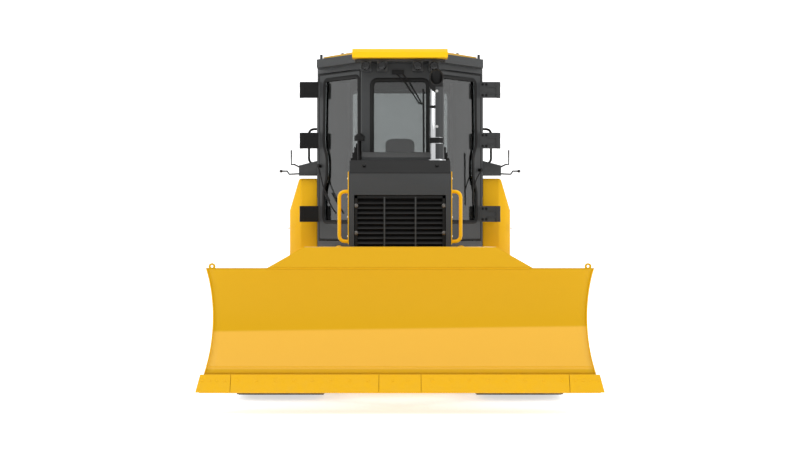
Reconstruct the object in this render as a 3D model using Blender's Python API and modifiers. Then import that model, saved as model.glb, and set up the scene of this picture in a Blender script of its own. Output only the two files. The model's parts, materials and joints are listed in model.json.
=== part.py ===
"""Crawler bulldozer with a power-angle-tilt blade, modelled as an assembly of separate solids.

Metres, +Z up. The machine faces -Y, +X is its left side, and the origin is on the ground under the
middle of its length. Run it with: blender --background --python part.py
"""

import math

import bmesh
import bpy
from mathutils import Matrix, Vector

# ---------------------------------------------------------------- driving dimensions
GAP = 0.0003                    # clearance between pieces that touch

TRACK_GAUGE = 2.12              # between the two track centres
SHOE_WIDTH = 0.76
SHOE_COUNT = 43
GROUSER_HEIGHT = 0.05
GROUSER_THICKNESS = 0.022
SHOE_PLATE = 0.022              # thickness of a shoe's plate
CHAIN_DEPTH = 0.095             # from the shoe's outer face to the rail the rollers run on
CHAIN_WIDTH = 0.20
LOOP_RADIUS = 0.40              # shoe face round the idler and the sprocket
IDLER_Y, IDLER_Z = -1.00, 0.47
SPROCKET_Y, SPROCKET_Z = 1.75, 0.49
CONTACT_FRONT_Y, CONTACT_REAR_Y = -0.66, 1.30
ROLLER_RADIUS = 0.10
BEAM_HALF = 0.135               # half width of a roller frame's beam
ROLLER_COUNT = 7
ROLLER_FRONT_Y, ROLLER_REAR_Y = -0.55, 1.22

FRAME_HALF = 0.42               # outer face of the main frame's rails
RAIL_WALL = 0.06
FRAME_BOTTOM, RAIL_TOP = 0.40, 0.85
FRAME_FRONT_Y, FRAME_REAR_Y = -1.0197, 1.95
HITCH_END_Y = 2.428
CASE_TOP = 0.9547

DECK_TOP = 0.985                # top of the fender plate
DECK_BOX_TOP = 1.2997
HOOD_HALF = 0.45
HOOD_FRONT_Y, GUARD_REAR_Y, FIREWALL_Y = -1.15, -1.02, -0.28
HOOD_TOP = 2.10
HOOD_BREAK = 1.985              # where the sloping top of the guard begins
GRILLE_HALF, GRILLE_BOTTOM, GRILLE_TOP = 0.403, 1.02, 1.793
SHEET = 0.012                   # hood and door sheet
ENGINE_DOOR_BOTTOM, ENGINE_DOOR_TOP = 1.40, 1.975

CAB_FLOOR, CAB_TOP = 1.30, 3.04
CAB_WALL = 0.06
CAB_PLAN = [(0.355, -0.20), (0.80, 0.42), (0.80, 1.18), (0.62, 1.42)]
DOOR_THICK = 0.045
DOOR_BOTTOM, DOOR_TOP = 1.385, CAB_TOP - 0.055
ROOF_LINE = CAB_TOP + 0.08
HINGE_X, HINGE_Y, HINGE_R = 0.955, 0.42, 0.019
HINGE_BANDS = [(2.76, 2.915), (2.27, 2.424), (1.56, 1.714)]

BLADE_HALF = 1.579              # mouldboard half width at its top edge
BLADE_BOTTOM = 0.18             # cutting edge above the ground as it is held
BLADE_TIP_Y = -2.40
EDGE_SLOPE = math.radians(60)   # cutting edge against the ground
FLAT_RISE = 0.194               # height of the straight lower part
ARC_RISE = 0.806                # height of the rolled part
SPILL_RISE = 0.17               # height of the raised middle
SPILL_TOP_HALF, SPILL_FOOT_HALF = 0.776, 1.083
BOARD_THICK = 0.018
BEAM_END = BLADE_HALF - 0.079
END_SLANT = 0.42                # how far the ends close in for each metre of depth
EDGE_THICK = 0.025
EDGE_HEIGHT = 0.135
END_BIT_HALF = 1.65

PIVOT_Y, PIVOT_Z = -0.10, 0.50  # push frame trunnions
ARM_IN, ARM_OUT = 0.50, 0.63
ARM_BOTTOM, ARM_TOP = 0.40, 0.60
PIN_Y = -1.80                   # upright angling pin
TILT_Z = 0.50                   # fore and aft tilting pin
CYL_X = 0.565
LIFT_TOP = (-0.52, 1.10)        # lift cylinder trunnion (y, z)
LIFT_EYE = (-0.98, 0.70)        # lift rod eye (y, z)
ANGLE_FOOT = (0.565, -1.16)     # angle cylinder foot (x, y)
ANGLE_EYE = (0.37, -1.87)       # angle rod eye (x, y)
ANGLE_Z = 0.69
TILT_CYL_Z, TILT_CYL_Y = 0.95, -1.93
TILT_FOOT_X, TILT_EYE_X = -0.36, 0.30

YELLOW = ("yellow_paint", (0.78, 0.47, 0.02, 1), 0.4, 0.0)
GREY = ("dark_grey_paint", (0.085, 0.09, 0.095, 1), 0.45, 0.0)
BLACK = ("black_paint", (0.018, 0.018, 0.018, 1), 0.5, 0.0)
STEEL = ("dark_steel", (0.10, 0.095, 0.09, 1), 0.45, 0.8)
CHROME = ("chrome", (0.8, 0.8, 0.8, 1), 0.1, 1.0)
GLASS = ("tinted_glass", (0.25, 0.28, 0.27, 0.4), 0.05, 0.0)
FABRIC = ("seat_fabric", (0.05, 0.05, 0.055, 1), 0.9, 0.0)

for leftover in list(bpy.data.objects):
    bpy.data.objects.remove(leftover, do_unlink=True)
parts = bpy.data.collections.new("bulldozer")
bpy.context.scene.collection.children.link(parts)


# ---------------------------------------------------------------- modelling tools
def material(spec):
    name, colour, roughness, metallic = spec
    found = bpy.data.materials.get(name)
    if found:
        return found
    made = bpy.data.materials.new(name)
    made.use_nodes = True
    shader = made.node_tree.nodes["Principled BSDF"]
    shader.inputs["Base Color"].default_value = colour
    shader.inputs["Roughness"].default_value = roughness
    shader.inputs["Metallic"].default_value = metallic
    return made


def add(name, mesh, spec):
    obj = bpy.data.objects.new(name, mesh)
    mesh.materials.clear()
    mesh.materials.append(material(spec))
    parts.objects.link(obj)
    return obj


def from_bmesh(name, bm, spec):
    mesh = bpy.data.meshes.new(name)
    bm.to_mesh(mesh)
    bm.free()
    return add(name, mesh, spec)


def block(name, low, high, spec=GREY):
    """A box between two corners."""
    bm = bmesh.new()
    size = [b - a for a, b in zip(low, high)]
    middle = [(a + b) / 2 for a, b in zip(low, high)]
    bmesh.ops.create_cube(bm, size=1, matrix=Matrix.Translation(middle) @ Matrix.Diagonal((*size, 1)))
    return from_bmesh(name, bm, spec)


def rod(name, start, end, radius, spec=STEEL, sides=20, end_radius=None):
    """A round bar between two points; end_radius makes it a cone."""
    start, end = Vector(start), Vector(end)
    along = end - start
    place = Matrix.Translation((start + end) / 2) @ along.to_track_quat("Z", "Y").to_matrix().to_4x4()
    bm = bmesh.new()
    top = radius if end_radius is None else end_radius
    bmesh.ops.create_cone(bm, cap_ends=True, segments=sides, radius1=radius, radius2=top,
                          depth=along.length, matrix=place)
    return from_bmesh(name, bm, spec)


def as_mesh(obj):
    """The evaluated shape of obj as a plain mesh object of the same name, doubles welded."""
    bpy.context.view_layer.update()
    graph = bpy.context.evaluated_depsgraph_get()
    mesh = bpy.data.meshes.new_from_object(obj.evaluated_get(graph))
    mesh.transform(obj.matrix_world)
    bm = bmesh.new()
    bm.from_mesh(mesh)
    bmesh.ops.remove_doubles(bm, verts=bm.verts, dist=1e-6)
    bmesh.ops.recalc_face_normals(bm, faces=bm.faces)
    bm.to_mesh(mesh)
    bm.free()
    name, old = obj.name, obj
    old.name = name + ".old"
    made = bpy.data.objects.new(name, mesh)
    parts.objects.link(made)
    bpy.data.objects.remove(old, do_unlink=True)
    return made


AXIS_FRAMES = {
    "X": Matrix(((0, 0, 1, 0), (1, 0, 0, 0), (0, 1, 0, 0), (0, 0, 0, 1))),    # outline in (y, z)
    "Y": Matrix(((1, 0, 0, 0), (0, 0, -1, 0), (0, 1, 0, 0), (0, 0, 0, 1))),   # outline in (x, z)
    "Z": Matrix.Identity(4),                                                   # outline in (x, y)
}


def plate(name, loops, axis, low, high, spec=GREY):
    """Flat outlines, the first one outside and the rest holes, given thickness from low to high."""
    curve = bpy.data.curves.new(name, "CURVE")
    curve.dimensions = "2D"
    curve.fill_mode = "BOTH"
    curve.extrude = (high - low) / 2
    for loop in loops:
        spline = curve.splines.new("POLY")
        spline.points.add(len(loop) - 1)
        spline.use_cyclic_u = True
        for point, (u, v) in zip(spline.points, loop):
            point.co = (u, v, 0, 1)
    obj = add(name, curve, spec)
    middle = (low + high) / 2
    shift = -middle if axis == "Y" else middle
    obj.matrix_world = AXIS_FRAMES[axis] @ Matrix.Translation((0, 0, shift))
    return as_mesh(obj)


def pipe(name, points, radius, spec=BLACK, rings=2):
    """A round bar bent along a line of points."""
    curve = bpy.data.curves.new(name, "CURVE")
    curve.dimensions = "3D"
    curve.bevel_depth = radius
    curve.bevel_resolution = rings
    curve.use_fill_caps = True
    spline = curve.splines.new("POLY")
    spline.points.add(len(points) - 1)
    for point, place in zip(spline.points, points):
        point.co = (*place, 1)
    return as_mesh(add(name, curve, spec))


def boolean(target, others, operation):
    for other in others:
        step = target.modifiers.new(operation, "BOOLEAN")
        step.operation = operation
        step.object = other
    made = as_mesh(target)
    for other in others:
        bpy.data.objects.remove(other, do_unlink=True)
    return made


def join(target, *others):
    return boolean(target, others, "UNION")


def cut(target, *others):
    return boolean(target, others, "DIFFERENCE")


def soften(obj, width, segments=2):
    """Rounds the sharp edges of a finished mesh."""
    edge = obj.modifiers.new("round", "BEVEL")
    edge.width = width
    edge.segments = segments
    edge.limit_method = "ANGLE"
    edge.angle_limit = math.radians(40)
    return as_mesh(obj)


def twin(obj, name):
    """A copy of obj on the other side of the machine."""
    bm = bmesh.new()
    bm.from_mesh(obj.data)
    bmesh.ops.scale(bm, vec=(-1, 1, 1), verts=bm.verts)
    bmesh.ops.reverse_faces(bm, faces=bm.faces)
    mesh = bpy.data.meshes.new(name)
    bm.to_mesh(mesh)
    bm.free()
    for used in obj.data.materials:
        mesh.materials.append(used)
    made = bpy.data.objects.new(name, mesh)
    parts.objects.link(made)
    return made


def arc(centre, radius, start, end, steps):
    """Points on a circle from one angle to another, in degrees."""
    turn = [math.radians(start + (end - start) * i / steps) for i in range(steps + 1)]
    return [(centre[0] + radius * math.cos(a), centre[1] + radius * math.sin(a)) for a in turn]


def rounded(corners, radius, steps=3):
    """An outline with its corners rounded."""
    out = []
    for i, corner in enumerate(corners):
        here = Vector(corner)
        back, ahead = Vector(corners[i - 1]) - here, Vector(corners[(i + 1) % len(corners)]) - here
        reach = min(radius, 0.45 * back.length, 0.45 * ahead.length)
        p, q = here + back.normalized() * reach, here + ahead.normalized() * reach
        for k in range(steps + 1):
            t = k / steps
            out.append(tuple(p * (1 - t) ** 2 + here * 2 * t * (1 - t) + q * t ** 2))
    return out


# ---------------------------------------------------------------- tracks
def loop_stretches():
    """The belt line at the shoes' outer face as straight runs and arcs, from the idler's top forwards."""
    def low_tangent(centre, point, side):
        """Angle on the wheel where a line from point touches its underside."""
        away = Vector(point) - Vector(centre)
        base = math.degrees(math.atan2(away.y, away.x))
        return base + side * math.degrees(math.acos(LOOP_RADIUS / away.length))

    idler, sprocket = (IDLER_Y, IDLER_Z), (SPROCKET_Y, SPROCKET_Z)
    front, rear = (CONTACT_FRONT_Y, GROUSER_HEIGHT), (CONTACT_REAR_Y, GROUSER_HEIGHT)
    lean = math.degrees(math.atan2(SPROCKET_Z - IDLER_Z, SPROCKET_Y - IDLER_Y))
    top = 90 + lean
    idler_low = low_tangent(idler, front, -1)
    sprocket_low = low_tangent(sprocket, rear, 1) - 360
    line = arc(idler, LOOP_RADIUS, top, idler_low + 360 if idler_low < top else idler_low, 36)
    line += [front, rear]
    line += arc(sprocket, LOOP_RADIUS, sprocket_low + 360 if sprocket_low < -180 else sprocket_low, top, 36)
    return [Vector(p) for p in line]


def belt_point(line, lengths, distance):
    """Place and outward normal at a distance along the closed belt line."""
    total = lengths[-1]
    distance %= total
    i = max(k for k in range(len(line)) if lengths[k] <= distance)
    a, b = line[i], line[(i + 1) % len(line)]
    span = lengths[i + 1] - lengths[i]
    along = (b - a).normalized()
    place = a + (b - a) * ((distance - lengths[i]) / span)
    return place, Vector((along.y, -along.x))


def make_track(side_name, centre_x):
    line = loop_stretches()
    lengths = [0.0]
    for a, b in zip(line, line[1:] + line[:1]):
        lengths.append(lengths[-1] + (b - a).length)
    pitch = lengths[-1] / SHOE_COUNT
    shoes, links = [], []
    for k in range(SHOE_COUNT):
        start = k * pitch
        profile = [(0.0, 0.0), (0.25 * pitch, 0.0), (0.25 * pitch, GROUSER_HEIGHT),
                   (0.25 * pitch + GROUSER_THICKNESS, GROUSER_HEIGHT),
                   (0.25 * pitch + GROUSER_THICKNESS, 0.0)]
        outer = []
        for ahead, out in profile:
            place, normal = belt_point(line, lengths, start + ahead)
            outer.append(tuple(place + normal * out))
        place, normal = belt_point(line, lengths, start)
        shoes.append((outer, tuple(place - normal * SHOE_PLATE)))
        for share in (0.0, 0.5):
            place, normal = belt_point(line, lengths, start + share * pitch)
            links.append(([tuple(place - normal * (SHOE_PLATE / 2))], tuple(place - normal * CHAIN_DEPTH)))
    belt = closed_band("track_" + side_name, shoes, centre_x - SHOE_WIDTH / 2, centre_x + SHOE_WIDTH / 2)
    chain = closed_band("chain", links, centre_x - CHAIN_WIDTH / 2, centre_x + CHAIN_WIDTH / 2)
    return join(belt, chain)


def closed_band(name, cells, low_x, high_x):
    """A closed band from cells of (outer points, inner point) in (y, z), between two values of x."""
    bm = bmesh.new()
    sides = []
    for x in (low_x, high_x):
        sides.append([([bm.verts.new((x, *p)) for p in outer], bm.verts.new((x, *inner)))
                      for outer, inner in cells])
    for k in range(len(cells)):
        after = (k + 1) % len(cells)
        rims = []
        for side in sides:
            rims.append(side[k][0] + [side[after][0][0]])
            bm.faces.new([side[k][1], *rims[-1], side[after][1]])
        for i in range(len(rims[0]) - 1):
            bm.faces.new([rims[0][i], rims[0][i + 1], rims[1][i + 1], rims[1][i]])
        bm.faces.new([sides[0][k][1], sides[0][after][1], sides[1][after][1], sides[1][k][1]])
    bmesh.ops.recalc_face_normals(bm, faces=bm.faces)
    return from_bmesh(name, bm, STEEL)


def make_undercarriage():
    """The pieces inside the left belt, which are then mirrored to the right."""
    x = TRACK_GAUGE / 2
    wheel = LOOP_RADIUS - CHAIN_DEPTH - 0.0035
    rail_z = GROUSER_HEIGHT + CHAIN_DEPTH + GAP
    roller_z = rail_z + ROLLER_RADIUS
    beam_bottom, beam_top = 0.33, 0.56

    # roller frame: a box beam, a fork for the idler and brackets for the two carrier rollers
    beam = block("track_frame_left", (x - BEAM_HALF, -0.62, beam_bottom), (x + BEAM_HALF, 1.28, beam_top), YELLOW)
    fork = []
    for side in (-1, 1):
        cheek = [(-0.55, 0.34), (-0.55, 0.55), (-0.90, 0.55), (-1.06, 0.52), (-1.06, 0.42), (-0.90, 0.38)]
        inner = x + side * 0.10
        outer = x + side * 0.13
        fork.append(plate("cheek", [cheek], "X", min(inner, outer), max(inner, outer), YELLOW))
    carriers = []
    top_slope = (SPROCKET_Z - IDLER_Z) / (SPROCKET_Y - IDLER_Y)
    for y in (0.02, 0.86):
        chain_z = IDLER_Z + LOOP_RADIUS + top_slope * (y - IDLER_Y) - CHAIN_DEPTH
        z = chain_z - 0.07 - 0.002
        carriers.append(block("post", (x - 0.03, y - 0.05, beam_top - 0.02), (x + 0.03, y + 0.05, z)))
        carriers.append(rod("carrier", (x - 0.085, y, z), (x + 0.085, y, z), 0.07, STEEL, 20))
    join(beam, *fork, *carriers)

    # bottom rollers, held between two rails under the beam
    pitch = (ROLLER_REAR_Y - ROLLER_FRONT_Y) / (ROLLER_COUNT - 1)
    rails = block("bottom_rollers_left", (x - 0.125, ROLLER_FRONT_Y - 0.06, 0.22),
                  (x - 0.085, ROLLER_REAR_Y + 0.06, beam_bottom - GAP), STEEL)
    others = [block("rail", (x + 0.085, ROLLER_FRONT_Y - 0.06, 0.22),
                    (x + 0.125, ROLLER_REAR_Y + 0.06, beam_bottom - GAP), STEEL)]
    for k in range(ROLLER_COUNT):
        y = ROLLER_FRONT_Y + k * pitch
        roller = 0.3 * beam_bottom
        others.append(rod("roller", (x - 0.09, y, roller_z), (x + 0.09, y, roller_z),
                          min(ROLLER_RADIUS, roller + 0.1, beam_bottom - GAP - roller_z), STEEL, 20))
    join(rails, *others)

    # idler wheel with a hub that reaches the fork
    idler = rod("idler_left", (x - 0.075, IDLER_Y, IDLER_Z), (x + 0.075, IDLER_Y, IDLER_Z), wheel, STEEL, 48)
    hub = rod("hub", (x - 0.10 + GAP, IDLER_Y, IDLER_Z), (x + 0.10 - GAP, IDLER_Y, IDLER_Z), 0.06, STEEL, 24)
    join(idler, hub)

    # toothed sprocket bolted round the final drive's hub
    teeth = []
    count = 25
    for k in range(count):
        for share, radius in ((0.0, wheel - 0.035), (0.25, wheel - 0.035), (0.45, wheel), (0.8, wheel)):
            angle = 2 * math.pi * (k + share) / count
            teeth.append((SPROCKET_Y + radius * math.cos(angle), SPROCKET_Z + radius * math.sin(angle)))
    bore = arc((SPROCKET_Y, SPROCKET_Z), 0.19, 0, 351, 39)
    plate("sprocket_left", [teeth, bore], "X", x - 0.035, x + 0.035, STEEL)

    make_track("left", x)
    for name in ("track_frame", "bottom_rollers", "idler", "sprocket", "track"):
        twin(bpy.data.objects[name + "_left"], name + "_right")


# ---------------------------------------------------------------- main frame and drive line
def make_main_frame():
    frame = block("main_frame", (-FRAME_HALF, FRAME_FRONT_Y, FRAME_BOTTOM),
                  (FRAME_HALF, FRAME_REAR_Y, FRAME_BOTTOM + 0.02), YELLOW)
    pieces = []
    for side in (-1, 1):
        rail = sorted((side * FRAME_HALF, side * (FRAME_HALF - RAIL_WALL)))
        pieces.append(block("rail", (rail[0], FRAME_FRONT_Y, FRAME_BOTTOM), (rail[1], 1.2, RAIL_TOP)))
        # axle of the push frame: boss and pin
        pieces.append(rod("boss", (side * 0.40, PIVOT_Y, PIVOT_Z), (side * (ARM_IN - GAP), PIVOT_Y, PIVOT_Z), 0.085))
        pieces.append(rod("pin", (side * 0.40, PIVOT_Y, PIVOT_Z), (side * (ARM_OUT + 0.02), PIVOT_Y, PIVOT_Z), 0.045))
        # bracket that carries the lift cylinder's trunnion
        y, z = LIFT_TOP
        foot = sorted((side * 0.41, side * 0.50))
        ear = sorted((side * (HOOD_HALF + GAP), side * 0.50))
        pieces.append(block("foot", (foot[0], y - 0.12, 0.66), (foot[1], y + 0.12, RAIL_TOP)))
        pieces.append(block("ear", (ear[0], y - 0.10, 0.80), (ear[1], y + 0.10, z + 0.07)))
        # pivot shaft to the roller frame, and the final drive inside the sprocket
        inner = TRACK_GAUGE / 2 - BEAM_HALF - GAP
        pieces.append(rod("pivot_shaft", (side * 0.40, 0.95, 0.46), (side * inner, 0.95, 0.46), 0.075))
        pieces.append(rod("drive", (side * 0.30, SPROCKET_Y, SPROCKET_Z), (side * 1.17, SPROCKET_Y, SPROCKET_Z),
                          0.19 - 2 * GAP, YELLOW, 40))
        pieces.append(rod("hub_cap", (side * 1.10, SPROCKET_Y, SPROCKET_Z), (side * 1.23, SPROCKET_Y, SPROCKET_Z),
                          0.13, YELLOW, 32))
    # equalizer bar below the rails, resting against both roller frames
    reach = TRACK_GAUGE / 2 - BEAM_HALF - GAP
    pieces.append(block("equalizer", (-reach, 0.24, 0.34), (reach, 0.36, FRAME_BOTTOM + 0.05)))
    for y in (-0.50, 0.20):
        pieces.append(block("cross", (-FRAME_HALF + 0.03, y - 0.05, FRAME_BOTTOM), (FRAME_HALF - 0.03, y + 0.05, 0.55)))
    pieces.append(block("front_cross", (-FRAME_HALF + 0.03, FRAME_FRONT_Y, FRAME_BOTTOM),
                        (FRAME_HALF - 0.03, FRAME_FRONT_Y + 0.06, 0.70)))
    pieces.append(block("case", (-FRAME_HALF + 0.02, 0.85, FRAME_BOTTOM + 0.01),
                        (FRAME_HALF - 0.02, FRAME_REAR_Y, CASE_TOP)))
    join(frame, *pieces)

    # engine as one plain block on the two cross members, and the radiator behind the grille
    block("engine", (-0.30, -0.62, 0.55 + GAP), (0.30, 0.30, CASE_TOP - 0.0005), STEEL)
    radiator = block("radiator", (-0.38, GUARD_REAR_Y + 0.06, RAIL_TOP + GAP), (0.38, -0.86, 1.90), BLACK)
    upper = block("upper_engine", (-0.26, -0.62, 0.90), (0.26, -0.36, 1.75), STEEL)
    join(bpy.data.objects["engine"], upper)
    foot = block("rest", (-0.38 - 0.03, GUARD_REAR_Y + 0.06, RAIL_TOP + GAP), (0.38 + 0.03, -0.86, 0.90), BLACK)
    join(radiator, foot)

    # rear drawbar: base plate and a clevis
    base = block("drawbar", (-0.20, FRAME_REAR_Y + GAP, 0.42), (0.20, FRAME_REAR_Y + 0.05, 0.80), YELLOW)
    tongue = block("tongue", (-0.09, FRAME_REAR_Y + 0.02, 0.46), (0.09, HITCH_END_Y, 0.64), YELLOW)
    mouth = block("mouth", (-0.2, 2.22, 0.52), (0.2, 2.5, 0.58))
    pin_hole = rod("pin_hole", (0, 2.31, 0.3), (0, 2.31, 0.8), 0.025, STEEL, 40)
    cut(join(base, tongue), mouth, pin_hole)


def make_deck():
    """Fender plates over both belts with the box that carries the cab."""
    half = TRACK_GAUGE / 2 + SHOE_WIDTH / 2 - 0.02
    front, rear = FIREWALL_Y + 0.03 + GAP, 2.12
    deck = block("deck", (-half, front, DECK_TOP - 0.03), (half, rear, DECK_TOP), YELLOW)
    box = block("box", (-0.74, -0.05, DECK_TOP - 0.01), (0.74, 1.44, DECK_BOX_TOP), YELLOW)
    nose = block("nose", (-HOOD_HALF, front, DECK_TOP - 0.01), (HOOD_HALF, 0.0, DECK_BOX_TOP), YELLOW)
    join(deck, box, nose)

    # side tanks with a chamfered outer front corner and a leaning outer wall
    low_x, high_x = CAB_PLAN[1][0] + GAP, 1.085
    plan = [(low_x, 0.56), (0.97, 0.56), (high_x, 0.68), (high_x, 1.44), (low_x, 1.44)]
    tank = plate("side_tank_left", [plan], "Z", DECK_TOP + GAP, 1.985, YELLOW)
    lean = [(1.00, 2.1), (0.985, 1.99), (1.086, 1.67), (1.2, 1.67), (1.2, 2.1)]
    cut(tank, plate("lean", [lean], "Y", 0.4, 1.6))
    soften(bpy.data.objects["side_tank_left"], 0.012, 1)
    twin(bpy.data.objects["side_tank_left"], "side_tank_right")

    # fuel tank across the back
    profile = rounded([(1.46, DECK_TOP + GAP), (2.08, DECK_TOP + GAP), (2.08, 1.70), (1.96, 1.95), (1.46, 1.95)], 0.06)
    tank = plate("fuel_tank", [profile], "X", -0.98, 0.98, YELLOW)
    neck = rod("neck", (0.6, 1.62, 1.90), (0.6, 1.62, 1.99), 0.06, BLACK, 20)
    join(tank, neck)


# ---------------------------------------------------------------- engine housing
def make_hood():
    slope = [(HOOD_FRONT_Y, 0.56), (HOOD_FRONT_Y, HOOD_BREAK), (HOOD_FRONT_Y + 0.10, HOOD_TOP),
             (GUARD_REAR_Y, HOOD_TOP), (GUARD_REAR_Y, 0.56)]
    guard = plate("radiator_guard", [slope], "X", -HOOD_HALF, HOOD_HALF, GREY)
    mouth = block("mouth", (-GRILLE_HALF, -2, GRILLE_BOTTOM), (GRILLE_HALF, 0, GRILLE_TOP))
    cut(guard, mouth)

    # grille: a frame with uprights and slats, bolted to the guard by four tabs
    half, low, high = GRILLE_HALF - 0.006, GRILLE_BOTTOM + 0.006, GRILLE_TOP - 0.006
    y0, y1 = HOOD_FRONT_Y + 0.008, HOOD_FRONT_Y + 0.045
    inner = [(-half + 0.03, low + 0.03), (half - 0.03, low + 0.03), (half - 0.03, high - 0.03), (-half + 0.03, high - 0.03)]
    rim = [(-half, low), (half, low), (half, high), (-half, high)]
    grille = plate("grille", [rim, inner], "Y", y0, y1, BLACK)
    fill = [block("upright", (x - 0.008, y0 + 0.001, low + 0.01), (x + 0.008, y1 - 0.001, high - 0.01)) for x in (-0.137, 0.137)]
    count = 11
    step = (high - low - 0.06) / count
    for k in range(count):
        z = low + 0.03 + (k + 0.5) * step
        slat = [(y0 + 0.004, z - 0.022), (y0 + 0.010, z - 0.026), (y1 - 0.004, z + 0.014), (y1 - 0.010, z + 0.018)]
        fill.append(plate("slat", [slat], "X", -half + 0.02, half - 0.02))
    for z in (low + 0.10, high - 0.10):
        fill.append(block("hinge", (-GRILLE_HALF + GAP, y0 + 0.002, z - 0.03), (-half + 0.01, y1 - 0.021, z + 0.03)))
    join(grille, *fill)

    # hood top: a folded sheet from the guard to the firewall
    outer = [(-HOOD_HALF, 1.98), (-HOOD_HALF, 2.04), (-0.39, HOOD_TOP), (0.39, HOOD_TOP), (HOOD_HALF, 2.04), (HOOD_HALF, 1.98)]
    inner = [(HOOD_HALF - SHEET, 1.98), (HOOD_HALF - SHEET, 2.035), (0.385, HOOD_TOP - SHEET),
             (-0.385, HOOD_TOP - SHEET), (-HOOD_HALF + SHEET, 2.035), (-HOOD_HALF + SHEET, 1.98)]
    plate("hood", [outer + inner], "Y", GUARD_REAR_Y + GAP, FIREWALL_Y - GAP, GREY)

    # engine bay: firewall with the fixed lower side panels
    wall = block("engine_bay", (-HOOD_HALF, FIREWALL_Y, CASE_TOP + 0.01), (HOOD_HALF, FIREWALL_Y + 0.03, HOOD_TOP), GREY)
    sides = []
    for side in (-1, 1):
        x = sorted((side * HOOD_HALF, side * (HOOD_HALF - SHEET)))
        sides.append(block("side", (x[0], GUARD_REAR_Y + GAP, RAIL_TOP + GAP), (x[1], FIREWALL_Y + 0.01, ENGINE_DOOR_BOTTOM - 0.006), GREY))
        inner = sorted((side * (HOOD_HALF - SHEET), side * (HOOD_HALF - 0.05)))
        sides.append(block("post", (x[0], -0.33, ENGINE_DOOR_BOTTOM - 0.02), (x[1], FIREWALL_Y + 0.01, 1.98 - GAP), GREY))
    join(wall, *sides)

    # side doors of the engine bay, hinged at their front edge
    front, rear = GUARD_REAR_Y + 0.006, -0.336
    door = block("engine_door_left", (HOOD_HALF - SHEET, front, ENGINE_DOOR_BOTTOM),
                 (HOOD_HALF, rear, ENGINE_DOOR_TOP), YELLOW)
    knuckles = [rod("knuckle", (HOOD_HALF - 0.002, front + 0.012, z - 0.04), (HOOD_HALF - 0.002, front + 0.012, z + 0.04), 0.010)
                for z in (ENGINE_DOOR_BOTTOM + 0.1, ENGINE_DOOR_TOP - 0.1)]
    leaves = [block("leaf", (HOOD_HALF - 0.01, front - 0.0057, z - 0.03), (HOOD_HALF - 0.002, front + 0.01, z + 0.03))
              for z in (ENGINE_DOOR_BOTTOM + 0.1, ENGINE_DOOR_TOP - 0.1)]
    join(door, *knuckles, *leaves)
    twin(bpy.data.objects["engine_door_left"], "engine_door_right")

    # yellow hand rails beside the guard
    y = HOOD_FRONT_Y + 0.05
    low, high, out, bend = 1.385, 1.825, 0.535, 0.05
    run = [(HOOD_HALF + GAP, low)] + arc((out - bend, low + bend), bend, -90, 0, 4)
    run += arc((out - bend, high - bend), bend, 0, 90, 4) + [(HOOD_HALF + GAP, high)]
    pipe("hand_rail_left", [(u, y, v) for u, v in run], 0.016, YELLOW)
    twin(bpy.data.objects["hand_rail_left"], "hand_rail_right")

    # exhaust stack with a slanted mouth, and the intake cap
    centre = (0.335, -0.47)
    stack = rod("exhaust_stack", (*centre, HOOD_TOP + GAP), (*centre, 3.0), 0.0635, CHROME, 32)
    bore = rod("bore", (*centre, 2.3), (*centre, 3.2), 0.058, CHROME, 32)
    slash = plate("slash", [[(-0.60, 2.7225), (-0.60, 3.3), (-0.30, 3.3), (-0.30, 3.0975)]], "X", 0.1, 0.6)
    collar = rod("collar", (*centre, HOOD_TOP + GAP), (*centre, HOOD_TOP + 0.03), 0.085, BLACK, 32)
    cut(join(stack, collar), bore, slash)
    at = (-0.374, -0.40)
    cap = rod("intake_cap", (*at, HOOD_TOP + GAP), (*at, 2.31), 0.02, BLACK, 16)
    dome = rod("dome", (*at, 2.305), (*at, 2.35), 0.048, BLACK, 24)
    crown = rod("crown", (*at, 2.35), (*at, 2.375), 0.048, BLACK, 24, end_radius=0.02)
    join(cap, dome, crown)


# ---------------------------------------------------------------- cab
def mirrored_plan(half):
    return half + [(-x, y) for x, y in reversed(half)]


def inset_plan(half, wall):
    """The plan's inner line: each side moved inwards by the wall."""
    full = [Vector(p) for p in mirrored_plan(half)]
    out = []
    for i, here in enumerate(full):
        back, ahead = full[i - 1], full[(i + 1) % len(full)]
        a, b = (here - back).normalized(), (ahead - here).normalized()
        na, nb = Vector((-a.y, a.x)), Vector((-b.y, b.x))
        out.append(tuple(here + (na + nb) * (wall / (1 + na.dot(nb)))))
    return out


def wall_frame(start, end):
    """A frame on a cab wall: u along it, v up, w outwards."""
    along = (Vector(end) - Vector(start)).normalized()
    out = Vector((along.y, -along.x))
    return Matrix(((along.x, out.x, 0, start[0]), (along.y, out.y, 0, start[1]), (0, 0, 1, 0), (0, 0, 0, 1)))


def wall_plate(name, loops, start, end, w_low, w_high, spec):
    """A plate that stands on a cab wall, with its outline in (along the wall, up)."""
    made = plate(name, loops, "Y", w_low, w_high, spec)
    made.data.transform(wall_frame(start, end))
    made.data.flip_normals()
    return made


DOOR_START, DOOR_END = CAB_PLAN[0], CAB_PLAN[1]
DOOR_LENGTH = (Vector(DOOR_END) - Vector(DOOR_START)).length
DOOR_GAP = 0.006
DOOR_GLASS = [(0.055, 1.56), (0.66, 1.56), (0.66, 1.86), (0.60, 1.98), (0.60, 2.18),
              (0.655, 2.30), (0.64, 2.925), (0.055, 2.925)]


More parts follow.
